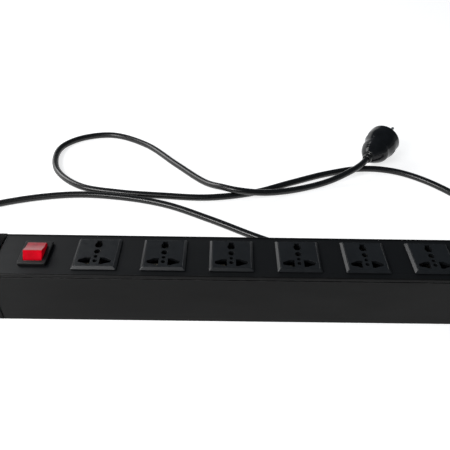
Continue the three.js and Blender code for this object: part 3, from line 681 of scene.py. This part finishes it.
def add_ear(end, side):
    low, high = box_mm(f"mounting_ear_{end}")
    half = EAR["thickness"] / 2
    leg_x = min(abs(low.x), abs(high.x)) + half
    tip_x = max(abs(low.x), abs(high.x))
    top = high.z - half
    bend = EAR["bend"] - half
    path = [(side * leg_x, low.z), (side * leg_x, top - bend - 4)]
    path += [(side * a, b) for a, b in arc(leg_x + bend, top - bend, bend, 180, 90, 8)]
    path += [(side * (leg_x + bend + 4), top), (side * tip_x, top)]
    piece = as_object(
        f"ear_{end}", bent_sheet(path, EAR["thickness"], low.y, high.y, "y"), "black_steel"
    )
    screw = middle(f"end_screw_{end}_rear")
    through = sorted((side * (leg_x - 3), side * (leg_x + 3)))
    corner = EAR["corner"]
    tools = [
        prism(slot_outline(side * RACK_HOLE_X, y), top - 3, top + 3)
        for y in (-RACK_SLOT_Y, RACK_SLOT_Y)
    ]
    tools += screw_drums(screw, CHANNEL["hole"] + 0.1, through)
    tools.append(drum(0, GLAND_Z, GLAND_NECK + 2.1, *through, "x", 64))
    for edge in (-1, 1):
        x, y = side * (tip_x - corner), edge * (high.y - corner)
        inside = arc(x, y, corner, 0, 90, 8)
        turned_in = [(x + side * (a - x), y + edge * (b - y)) for a, b in inside]
        outside = (side * (tip_x + 1), edge * (high.y + 1))
        rest = [(x, edge * (high.y + 1)), outside, (side * (tip_x + 1), y)]
        tools.append(prism(turned_in + rest, top - 3, top + 3))
    cut(piece, *tools)
    rounded(piece, 0.25)
    placed(piece, f"mounting_ear_{end}")


SCREW_HEAD = 2.4  # its height
CAP_SCREW_SHANK = 1.9
CAP_SCREW_SPIN = {"front": 25, "rear": 62}  # how far each was driven home, in degrees


def add_screw(name, radius, head_radius, length, slot_span, pitch=1.4):
    """A pan-headed screw along x: the head's seat at 0, the head to +x, threads to -x."""
    profile = [(0.3, -length), (radius * 0.55, -length + 0.4)]
    for thread in range(int((length - 2) / pitch)):
        start = -length + 1.2 + thread * pitch
        profile += [(radius * 0.82, start), (radius, start + pitch / 2)]
    profile += [(radius * 0.9, 0), (head_radius, 0.05), (head_radius, SCREW_HEAD * 0.35)]
    profile += [
        (head_radius * a, SCREW_HEAD * (0.2 + 0.8 * b)) for a, b in arc(0, 0, 1, 20, 84, 6)
    ]
    piece = as_object(name, turned(profile, 32), "zinc_steel")
    cut(piece, *[block((SCREW_HEAD, 0, 0), (SCREW_HEAD, wide, tall))
                 for wide, tall in ((slot_span, 0.9), (0.9, slot_span))])
    return rounded(piece, 0.08)


def add_end_screw(end, side, row):
    node = f"end_screw_{end}_{row}"
    low, high = box_mm(node)
    centre = (low + high) / 2
    seat = high.x - SCREW_HEAD if side > 0 else low.x + SCREW_HEAD
    piece = add_screw(f"cap_screw_{end}_{row}", CAP_SCREW_SHANK, (high.y - low.y) / 2,
                      high.x - low.x - SCREW_HEAD, 4.2)
    place = shift(seat, centre.y, centre.z) @ turn(180 if side < 0 else 0, "Z")
    placed(piece, node, at=place @ turn(CAP_SCREW_SPIN[row], "X"))


# ---- sockets ----
SOCKET = {
    "size": 40, "chamfer": 2.1, "rim": 0.7, "corner": 0.7, "skirt": 36, "skirt_wall": 1.5,
    "skirt_bottom": 52, "face": 3.1, "plate": 2.8,
}
PIN_LINE_Y = -11
EARTH_Y = 11.2
SECOND_EARTH_Y = 1.2


def pin_entry(side):
    """The outline of a combined entry for a round pin, a flat blade and a rectangular pin."""
    outline = [
        (4.1, -4.4), (7, -4.4), (9.6, -3), (14.2, -1.9), (14.8, -1.3), (14.8, 1.1), (14.2, 1.7),
        (11.5, 2.7), (8.6, 4.4), (4.1, 4.4),
    ]
    points = [(side * a, PIN_LINE_Y + b) for a, b in outline]
    return points if side > 0 else points[::-1]


def socket_mesh():
    """A socket face around x = 0, in the strip's own y and z."""
    low, high = box_mm("socket_face_1")
    base = high.z - SOCKET["plate"]
    top, size, inset = high.z, SOCKET["size"], SOCKET["chamfer"]
    shoulder = top - inset
    flat = size - 2 * inset
    skirt = SOCKET["skirt"]
    squares = [
        (skirt, SOCKET["skirt_bottom"]), (skirt, base - 0.01), (size - 0.5, base),
        (size, base + 0.25), (size, shoulder), (flat, top),
        # a fine groove round the flat face
        (flat - 0.7, top), (flat - 1.0, top - 0.16), (flat - 1.4, top - 0.16),
        (flat - 1.7, top - 0.02),
    ]
    levels = [(side, side, SOCKET["corner"], z) for side, z in squares]
    piece = as_object("socket", stack(levels), "socket_plastic")
    hollow = skirt - 2 * SOCKET["skirt_wall"]
    under = top - SOCKET["face"]
    through = (under - 1, top + 1)
    inside = rounded_rectangle(0, 0, hollow, hollow, 0.6)
    cut(piece, prism(inside, SOCKET["skirt_bottom"] - 1, under))
    round_part = arc(0, EARTH_Y - 0.9, 3.6, -40, 220, 28)
    earth = [*round_part, (-2.3, EARTH_Y - 4.6), (2.3, EARTH_Y - 4.6)]
    upper = [(-2.3, EARTH_Y), (2.3, EARTH_Y), (2.3, EARTH_Y + 4.6), (-2.3, EARTH_Y + 4.6)]
    cut(
        piece,
        prism(earth, *through),
        prism(upper, *through),
        drum(0, SECOND_EARTH_Y, 2.85, *through),
        drum(0, -5.4, 1.8, *through),
        drum(0, PIN_LINE_Y, 2, *through),
        prism(pin_entry(1), *through),
        prism(pin_entry(-1), *through),
    )
    return rounded(piece, 0.16, angle=28)


def add_sockets():
    """One socket is shaped, copied before it is placed, and put at each centre."""
    pieces = [socket_mesh()]
    for _ in socket_centres()[1:]:
        piece = pieces[0].copy()
        piece.data = pieces[0].data.copy()
        scene.collection.objects.link(piece)
        pieces.append(piece)
    for k, (x, piece) in enumerate(zip(socket_centres(), pieces), 1):
        piece.name = f"socket_{k}"
        placed(piece, f"socket_face_{k}", at=shift(x, 0, 0))


# ---- busbars ----
CONTACT = {"x": 9.8, "half": 4.6, "base": 40, "reach": 4.2, "leaf": 0.8}
BUSBAR = {"width": 8, "thickness": 1.2, "riser": 5}


def clip_path(centre, reach, pinch, tip):
    """A U of sheet brass in side view, pinched above its middle, with its lips turned out."""
    base = CONTACT["base"] + 0.4
    half = [(reach - 0.8, base), *arc(reach - 0.8, base + 0.8, 0.8, -90, 0, 4),
            (reach - 0.2, base + 6), (reach - pinch, base + 11), (reach - pinch + 0.4, base + 13),
            (reach + tip, base + 15.4)]
    return [(centre - a, b) for a, b in half[::-1]] + [(centre + a, b) for a, b in half]


def pin_clip(x):
    path = clip_path(PIN_LINE_Y, CONTACT["reach"] - CONTACT["leaf"] / 2, 1.3, 0.1)
    return bent_sheet(path, CONTACT["leaf"], x - CONTACT["half"], x + CONTACT["half"], "x")


def earth_clip(x):
    path = clip_path(x, 4.0, 1.5, 0)
    return bent_sheet(path, CONTACT["leaf"], SECOND_EARTH_Y - 3.4, EARTH_Y + 4.4, "y")


def add_busbar(name, y, clip_x, clip):
    """A flat bar along the strip, with a riser and a spring clip at each socket."""
    low, high = box_mm(name)
    bar_top = low.z + BUSBAR["thickness"]
    width = BUSBAR["width"]
    bar = stack([(high.x - low.x, width, 1, low.z), (high.x - low.x, width, 1, bar_top)],
                (low.x + high.x) / 2, y)
    piece = as_object(name.replace("busbar", "contact_bar"), bar, "tinned_brass")
    risers = []
    for x in clip_x:
        risers.append(block((x, y, (bar_top + CONTACT["base"]) / 2 + 0.1),
                            (BUSBAR["riser"], 1.2, CONTACT["base"] - bar_top + 1.2)))
        if name == "neutral_busbar":  # its bar lies off the pin line, so a tongue reaches over
            risers.append(block((x, (PIN_LINE_Y + 3 + y) / 2, CONTACT["base"] + 0.4),
                                (BUSBAR["riser"], y - PIN_LINE_Y - 2, 0.8)))
    weld(piece, *risers, *[clip(x) for x in clip_x])
    cut(piece, *[drum(x + 20, y, 1.6, low.z - 1, bar_top + 1) for x in clip_x])
    rounded(piece, 0.12)
    placed(piece, name)


def add_busbars():
    centres = socket_centres()
    aside = CONTACT["x"]
    add_busbar("live_busbar", PIN_LINE_Y, [x - aside for x in centres], pin_clip)
    add_busbar("neutral_busbar", 0, [x + aside for x in centres], pin_clip)
    add_busbar("earth_busbar", EARTH_Y, centres, earth_clip)


# ---- rocker switch ----
BEZEL = {"width": 25.6, "depth": 30.4, "corner": 1.6, "height": 2.9}
SWITCH_BODY = {"width": 22.4, "depth": 28, "corner": 0.8, "floor": 2}
ROCKER_OPENING = {"width": 17.4, "depth": 22.6}
ROCKER = {"width": 16.6, "pivot_z": 57.5, "radius": 10.8, "crest_y": 7.7, "crest_z": 9.6,
          "dip": 0.5, "tilt": 14}
TRUNNION = {"radius": 1.5, "length": 0.9}
PLUNGER = {"width": 2.2, "corner": 0.6, "reach": 10.3}  # they press on the contact arms
ARM = {"x": 5, "width": 3, "length": 16, "thickness": 0.8, "z": 45.5, "tilt": 7}


def add_switch_housing():
    low, high = box_mm("switch_housing")
    centre = (low + high) / 2
    base = middle("socket_panel").z + 1.2
    top = base + BEZEL["height"]
    body = (SWITCH_BODY["width"], SWITCH_BODY["depth"], SWITCH_BODY["corner"])
    levels = [(*body, low.z), (*body, base - 0.01)]
    levels += [
        (BEZEL["width"] - less, BEZEL["depth"] - less, BEZEL["corner"], z)
        for less, z in ((0.6, base), (0, base + 0.3), (0, top - 0.9), (0.3, top - 0.4), (1.1, top))
    ]
    piece = as_object("switch_bezel", stack(levels, centre.x, centre.y), "bezel_plastic")
    trunnion = TRUNNION["radius"] + GAP
    reach = ROCKER["width"] / 2 + TRUNNION["length"] + GAP
    opening = rounded_rectangle(
        centre.x, centre.y, ROCKER_OPENING["width"], ROCKER_OPENING["depth"], 0.5
    )
    tools = [
        prism(opening, low.z + SWITCH_BODY["floor"], top + 1),
        drum(centre.y, ROCKER["pivot_z"], trunnion, centre.x - reach, centre.x + reach, "x"),
    ]
    for pole in ("live", "neutral"):
        for way in ("in", "out"):
            blade = middle(f"switch_terminal_{pole}_{way}")
            tools.append(block((blade.x, blade.y, low.z + 1), (5.4, 1.4, 4)))
    cut(piece, *tools)
    rounded(piece, 0.2)
    placed(piece, "switch_housing")


def rocker_outline():
    """The rocker's side view about its pivot, level: two soft crests with a hollow between."""
    y, z, dip, radius = ROCKER["crest_y"], ROCKER["crest_z"], ROCKER["dip"], ROCKER["radius"]
    soft = 0.8  # the crests' rounding
    skirt = 15  # degrees of the round wall above and below the pivot
    half = [*arc(0, 0, radius, -skirt, skirt, 6), (y + 0.35, z - 1.8), (y + 0.05, z - soft)]
    half += arc(y - soft, z - soft, soft, 0, 84, 5)
    hollow = []
    for step in range(1, 10):
        across = (y - 1) * (1 - step / 5)
        hollow.append((across, z - dip * (1 - (across / (y - 1)) ** 2)))
    mirrored = [(-a, b) for a, b in half[::-1]]
    return half + hollow + mirrored


def add_rocker():
    centre = middle("switch_housing")
    half_width = ROCKER["width"] / 2
    piece = as_object(
        "rocker", prism(rocker_outline(), -half_width, half_width, "x"), "red_plastic"
    )
    reach = half_width + TRUNNION["length"]
    section = (PLUNGER["width"], PLUNGER["width"], PLUNGER["corner"])
    plungers = [
        stack([(*section, -PLUNGER["reach"]), (*section, -1)], x) for x in (-ARM["x"], ARM["x"])
    ]
    weld(piece, drum(0, 0, TRUNNION["radius"], -reach, reach, "x"), *plungers)
    rounded(piece, 0.45, segments=3, angle=40)
    on_top = ROCKER["crest_z"] / 2
    # Painted sheen: the upward-facing top facets get the darker, glossier red.
    paint_where(piece, "red_top_sheen",
                lambda facet: facet.normal.z > 0.85 and facet.center.z > on_top)
    place = shift(centre.x, centre.y, ROCKER["pivot_z"]) @ turn(-ROCKER["tilt"], "X")
    placed(piece, "switch_rocker", body="rocker", at=place)


def add_contact_arm(pole):
    node = f"switch_contact_arm_{pole}"
    centre = middle(node)
    half = ARM["length"] / 2
    path = [(-half, 0.25), (-half + 2.4, 0), (-1.6, 0), (0, -0.3), (1.6, 0), (half - 2.4, 0),
            (half, 0.25)]
    blade = bent_sheet(path, ARM["thickness"], -ARM["width"] / 2, ARM["width"] / 2, "x")
    piece = as_object(f"contact_arm_{pole}", blade, "brass")
    rounded(piece, 0.1)
    placed(piece, node, body=f"contact_arm_{pole}",
           at=shift(centre.x, centre.y, ARM["z"]) @ turn(ARM["tilt"], "X"))


def add_terminal(pole, way):
    node = f"switch_terminal_{pole}_{way}"
    low, high = box_mm(node)
    x, y = (low.x + high.x) / 2, (low.y + high.y) / 2
    half, tip = (high.x - low.x) / 2, 1.2
    outline = [
        (x - half + tip, low.z), (x + half - tip, low.z), (x + half, low.z + 2 * tip),
        (x + half, high.z), (x - half, high.z), (x - half, low.z + 2 * tip),
    ]
    piece = as_object(f"blade_{pole}_{way}", prism(outline, low.y, high.y, "y"), "brass")
    cut(piece, drum(x, low.z + 4, 0.9, y - 1, y + 1, "y", 20))
    rounded(piece, 0.1)
    placed(piece, node)


def add_lamp():
    low, high = box_mm("switch_lamp")
    x, y = (low.x + high.x) / 2, (low.y + high.y) / 2
    length = high.z - low.z
    profile = [(1.2, 0), (2.0, 0.15), (2.1, 0.6), (2.1, length - 3.2), (1.9, length - 2.2),
               (1.3, length - 1.0), (0.5, length - 0.2), (0.1, length)]
    piece = as_object("neon_lamp", turned(profile, 24), "lamp_glass")
    rounded(piece, 0.05)
    placed(piece, "switch_lamp", at=shift(x, y, low.z) @ turn(-90, "Y"))


# ---- cord inlet and inner wiring ----
BOOT = {"tip": 5.8, "root": 8.6, "flange": 9.8, "rings": 7}


def add_strain_relief():
    """A tapered boot with a flange, ringed with grooves so that it bends evenly."""
    low, high = box_mm("cord_strain_relief")
    bore = CORD_RADIUS + GAP
    flange_x = box_mm("end_cap_left")[0].x - 4
    tip, shoulder = low.x, flange_x - 1
    rings, thin, thick, flange = BOOT["rings"], BOOT["tip"], BOOT["root"], BOOT["flange"]
    pitch = (shoulder - tip - 2) / rings
    profile = [(bore, tip), (5.4, tip), (thin, tip + 0.5)]
    for ring in range(rings):
        start = tip + 1.2 + ring * pitch
        outer = thin + (thick - thin) * (ring + 0.5) / rings
        profile += [(outer, start + 0.2), (outer + 0.1, start + pitch * 0.5),
                    (outer - 1.1, start + pitch * 0.6), (outer - 1.1, start + pitch * 0.9)]
    profile += [(thick, shoulder), (9.5, flange_x), (flange, flange_x + 0.6),
                (flange, flange_x + 5.4), (GLAND_NECK, flange_x + 5.7), (GLAND_NECK, high.x),
                (bore, high.x)]
    piece = as_object("cord_boot", turned(profile, 48, pipe=True), "cord_rubber")
    rounded(piece, 0.15)
    placed(piece, "cord_strain_relief", at=shift(0, 0, GLAND_Z))
    return piece


def add_gland_nut():
    low, high = box_mm("strain_relief_nut")
    sides = arc(0, GLAND_Z, 12, 0, 300, 5)
    piece = as_object("gland_nut", prism(sides, low.x, high.x, "x"), "cap_plastic")
    cut(piece, drum(0, GLAND_Z, GLAND_NECK + GAP, low.x - 1, high.x + 1, "x", 64))
    rounded(piece, 0.5)
    placed(piece, "strain_relief_nut")


def add_earth_joint():
    screw = box_mm("earth_screw")
    lug = box_mm("earth_lug")
    x, y = middle("earth_screw").x, middle("earth_screw").y
    plate = [lug[0].z, lug[1].z]
    piece = as_object("ring_lug", drum(x, y, 5, *plate), "nickel")
    stem = rounded_rectangle((lug[0].x + x) / 2, y, x - lug[0].x, 4.4, 0.8)
    weld(piece, prism(stem, *plate))
    cut(piece, drum(x, y, 2, plate[0] - 1, plate[1] + 1))
    rounded(piece, 0.15)
    placed(piece, "earth_lug")
    height = screw[1].z - screw[0].z - SCREW_HEAD
    earth = add_screw("earth_joint_screw", EARTH_SCREW["shank"], EARTH_SCREW["head"], height, 4,
                      EARTH_SCREW["pitch"])
    placed(earth, "earth_screw",
           at=shift(x, y, screw[1].z - SCREW_HEAD) @ turn(-90, "Y"))


WIRE_RADIUS = 1.35
WIRES = {  # each wire's look, and the points it passes
    "wire_live_inlet": ("wire_brown", [
        (-208.7, -1.8, 22.5), (-196, -3, 20), (-186, -2, 19), (-181.4, -0.5, 21.5),
        (-181.2, -0.5, 25.2)]),
    "wire_neutral_inlet": ("wire_blue", [
        (-208.7, 1.8, 22.5), (-194, 4, 19), (-180, 3.5, 16), (-172.4, 0, 18),
        (-171.4, -0.5, 25.2)]),
    "wire_live_switched": ("wire_brown", [
        (-181.4, -7.1, 25.2), (-179.4, -10.1, 18), (-166, -14, 13), (-155, -11, 18),
        (-148.3, -11, 21.6)]),
    "wire_neutral_switched": ("wire_blue", [
        (-171.4, -7.1, 25.2), (-168.4, -6.6, 19), (-160, -4, 17), (-153, -0.5, 20),
        (-148.3, 0, 21.6)]),
    "wire_earth_inlet": ("wire_green", [
        (-208.7, 0, 26), (-200, 9, 21), (-191, 14, 12), (-182, 13.4, 5), (-173.3, 13, 4.2)]),
    "wire_earth_busbar": ("wire_green", [
        (-153.3, 13, 4.2), (-149.6, 13, 5), (-152.2, 12.4, 15), (-149.5, 11.2, 21.2),
        (-148.3, 11.2, 21.6)]),
}


def add_wires():
    for node, (slot, points) in WIRES.items():
        piece = as_object(node.replace("wire", "core"), tube(points, WIRE_RADIUS), slot)
        rounded(piece, 0.2)
        placed(piece, node)


# ---- plug ----
PLUG_RADIUS = 22
PIN = {"radius": 2.4, "length": 19, "depth": 8, "spacing": 19}
EARTH_RECESS = {"width": 9, "depth": 4.6, "length": 17}
PLUG_STEP = 0.7  # between the rings of the turned shell
FLANK = {"angle": 97, "swell": 2.6, "middle": -29, "spread": 11}
HOLLOW = {"angle": -38, "middle": -34, "half_length": 11, "begins": 0.62, "depth": 1.0,
          "rib": 0.28, "rib_pitch": 2.75}
FLOOR_CLEARANCE = 0.1
UNDERSIDE = 0.5  # how steeply a spot must face down to be flattened


def plug_radius(radius, along, angle):
    """The turned radius, changed by a full flank on one side, an underside that stays above
    the floor, and two finger hollows with fine ribs in the rear half."""
    swell = max(0.0, math.cos(angle - math.radians(FLANK["angle"])))
    reach = (along - FLANK["middle"]) / FLANK["spread"]
    radius += FLANK["swell"] * swell * math.exp(-(reach ** 2))
    slope = math.radians(PLUG_SLOPE)
    down = -math.sin(angle + math.radians(PLUG_ROLL)) * math.cos(slope)
    axis_height = PLUG_FACE[2] + along * math.sin(slope)
    if down > UNDERSIDE:
        radius = min(radius, (axis_height - FLOOR_CLEARANCE) / down)
    reach = (along - HOLLOW["middle"]) / HOLLOW["half_length"]
    if abs(reach) >= 1:
        return radius
    begins = HOLLOW["begins"]
    sideways = abs(math.cos(angle - math.radians(HOLLOW["angle"])))
    share = max(0.0, (sideways - begins) / (1 - begins)) ** 1.5 * (1 - reach * reach)
    ribs = HOLLOW["rib"] * math.cos(2 * math.pi * along / HOLLOW["rib_pitch"])
    return radius - share * (HOLLOW["depth"] + ribs)


def add_plug_body():
    rear = -PLUG_LENGTH
    shape = [
        (2, rear), (7.4, rear), (8.4, rear + 0.6), (9.6, rear + 2), (11.6, rear + 4.5),
        (13.6, rear + 7.6), (15.2, rear + 11), (16.4, rear + 14.5), (17, rear + 17.5),
        (17.1, rear + 19.5), (17.1, rear + 21), (17.3, -26), (18.2, -23.2), (19.3, -20.6),
        (20.3, -18.2), (21.1, -16), (21.6, -14), (21.9, -11.5), (22, -7), (22, -2), (21.7, -0.8),
        (21, 0), (18.2, 0), (17.9, -0.5), (2, -0.5),
    ]
    fine = []
    for (r0, x0), (r1, x1) in zip(shape, shape[1:]):
        steps = max(1, int(abs(x1 - x0) / PLUG_STEP))
        fine += [(r0 + (r1 - r0) * k / steps, x0 + (x1 - x0) * k / steps) for k in range(steps)]
    fine.append(shape[-1])
    piece = as_object("plug_shell", turned(fine, 96, shape=plug_radius), "plug_rubber")
    floor, length = PLUG_RADIUS - EARTH_RECESS["depth"], EARTH_RECESS["length"]
    hole = PIN["radius"] + GAP
    tools = []
    for side in (-1, 1):
        tools.append(drum(side * PIN["spacing"] / 2, 0, hole, -PIN["depth"], 2, "x"))
        tools.append(block((0.5 - length / 2, 0, side * (floor + 5)),
                           (length + 1, EARTH_RECESS["width"], 10)))
    guard_hole = PLUG_GUARD["length"] - PLUG_GUARD["visible"] + GAP
    tools.append(drum(0, 0, PLUG_GUARD["radius"] + GAP, rear - 1, rear + guard_hole, "x"))
    cut(piece, *tools)
    rounded(piece, 0.25, angle=40)
    return placed(piece, "plug_body", at=plug_frame)


def add_plug_pins():
    made = []
    radius, tip = PIN["radius"], PIN["length"]
    profile = [(0.4, GAP - PIN["depth"]), (radius, GAP - PIN["depth"]), (radius, tip - 2.6)]
    profile += [(radius * a, tip - 2.4 + 2.4 * b) for a, b in arc(0, 0, 1, 8, 80, 7)]
    for name, side in (("live", -1), ("neutral", 1)):
        piece = as_object(f"pin_{name}", turned(profile, 40), "nickel")
        rounded(piece, 0.08)
        place = plug_frame @ shift(0, side * PIN["spacing"] / 2, 0)
        made.append(placed(piece, f"plug_pin_{name}", at=place))
    return made


def add_earth_clips():
    made = []
    floor = PLUG_RADIUS - EARTH_RECESS["depth"] + GAP
    rear = GAP - EARTH_RECESS["length"]
    path = [(rear + 0.4, floor), (rear + 0.4, floor + 1.0), (rear + 1.2, floor + 1.6),
            (rear + 5, floor + 1.9), (rear + 10, floor + 1.7), (-2.2, floor + 1.2),
            (-1.2, floor + 0.6)]
    for name, side in (("right", 1), ("left", -1)):
        points = [(x, side * z) for x, z in path]
        piece = as_object(f"earth_strap_{name}", bent_sheet(points, 0.7, -2.6, 2.6, "y"), "nickel")
        rounded(piece, 0.12)
        made.append(placed(piece, f"plug_earth_clip_{name}", at=plug_frame))
    return made


def add_plug_guard():
    """The collar where the cord enters the plug."""
    radius = PLUG_GUARD["radius"]
    inner = guard_end + PLUG_GUARD["length"]
    outside = [(1.2, 0), (0.6, 0.5), (0.3, 1.6), (0, 3), (0, 4.4), (0.6, 4.8), (0.6, 5.6), (0, 6)]
    profile = [(1, guard_end), *[(radius - less, guard_end + x) for less, x in outside],
               (radius, inner), (1, inner)]
    piece = as_object("plug_collar", turned(profile, 48), "cord_rubber")
    rounded(piece, 0.15)
    return placed(piece, "plug_cord_guard", at=plug_frame)


# ---- what stays as packed ----
def paint_packed_nodes():
    """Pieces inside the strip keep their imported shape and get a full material."""
    kept = {"busbar_tray": "white_plastic"}
    kept.update({f"socket_housing_{k}": "socket_plastic" for k in range(1, 7)})
    for node, name in kept.items():
        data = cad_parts[node].data
        data.materials.clear()
        data.materials.append(LOOKS[name])


# ---- studio ----
def add_floor():
    half = 5.0  # metres
    data = bpy.data.meshes.new("floor")
    data.from_pydata([(-half, -half, 0), (half, -half, 0), (half, half, 0), (-half, half, 0)],
                     [], [(0, 1, 2, 3)])
    data.materials.append(look(
        "floor_paper", grey(0.55), grey(0.57), (0.75, 0.85), specular=0.05, mottle=6, grain=300,
        grain_depth=0.02, glow=((1.0, 1.0, 1.0), 0.74),
    ))
    new_object("floor", data)


def add_softbox(name, place, size, power):
    """A rectangular light at a place in metres, turned towards the strip's middle."""
    data = bpy.data.lights.new(name, "AREA")
    data.shape = "RECTANGLE"
    data.size, data.size_y = size
    data.energy = power
    lamp = new_object(name, data)
    lamp.location = place
    lamp.rotation_mode = "QUATERNION"
    lamp.rotation_quaternion = (-Vector(place)).to_track_quat("-Z", "Y")


def add_world():
    """Bright near the horizon on the left, dim above and on the right."""
    world = bpy.data.worlds.new("studio")
    world.use_nodes = True
    tree = world.node_tree
    tree.nodes.clear()
    direction = add_node(tree, "ShaderNodeTexCoord").outputs["Generated"]
    parts = add_node(tree, "ShaderNodeSeparateXYZ", Vector=direction).outputs
    side = map_range(tree, parts["X"], (-0.4, 0.3), (1.0, 0.12))
    ramp = add_node(tree, "ShaderNodeValToRGB", Fac=parts["Z"])
    stops = ramp.color_ramp.elements
    stops[0].position, stops[0].color = 0.24, (1, 1, 1, 1)
    stops[1].position, stops[1].color = 0.42, (0, 0, 0, 1)
    band = tree.nodes.new("ShaderNodeMath")
    band.operation = "MULTIPLY"
    tree.links.new(ramp.outputs["Color"], band.inputs[0])
    tree.links.new(side, band.inputs[1])
    colour = mixed(tree, band.outputs["Value"], (0.1, 0.12, 0.14), (1.5, 1.5, 1.5))
    light = add_node(tree, "ShaderNodeBackground", Color=colour)
    add_node(tree, "ShaderNodeOutputWorld", Surface=light.outputs["Background"])
    scene.world = world


def add_studio():
    scene.view_settings.view_transform = "Standard"
    add_floor()
    add_world()
    add_softbox("left_rear_box", (-1.3, 0.75, 0.95), (1.0, 0.8), 15)
    add_softbox("front_left_box", (-1.0, -0.7, 0.95), (0.7, 0.5), 14)
    add_softbox("front_box", (-0.6, -1.0, 1.1), (1.0, 0.6), 3)


# ---- assembly ----
add_channel()
add_panel()
for end, side in (("left", -1), ("right", 1)):
    add_end_cap(end, side)
    add_ear(end, side)
    for row in ("front", "rear"):
        add_end_screw(end, side, row)
add_sockets()
add_busbars()
add_switch_housing()
add_rocker()
for pole in ("live", "neutral"):
    add_contact_arm(pole)
    for way in ("in", "out"):
        add_terminal(pole, way)
add_lamp()
cord_boot = add_strain_relief()
add_gland_nut()
add_earth_joint()
add_wires()
plug_pieces = [add_plug_body(), *add_plug_pins(), *add_earth_clips(), add_plug_guard()]
paint_packed_nodes()
add_studio()
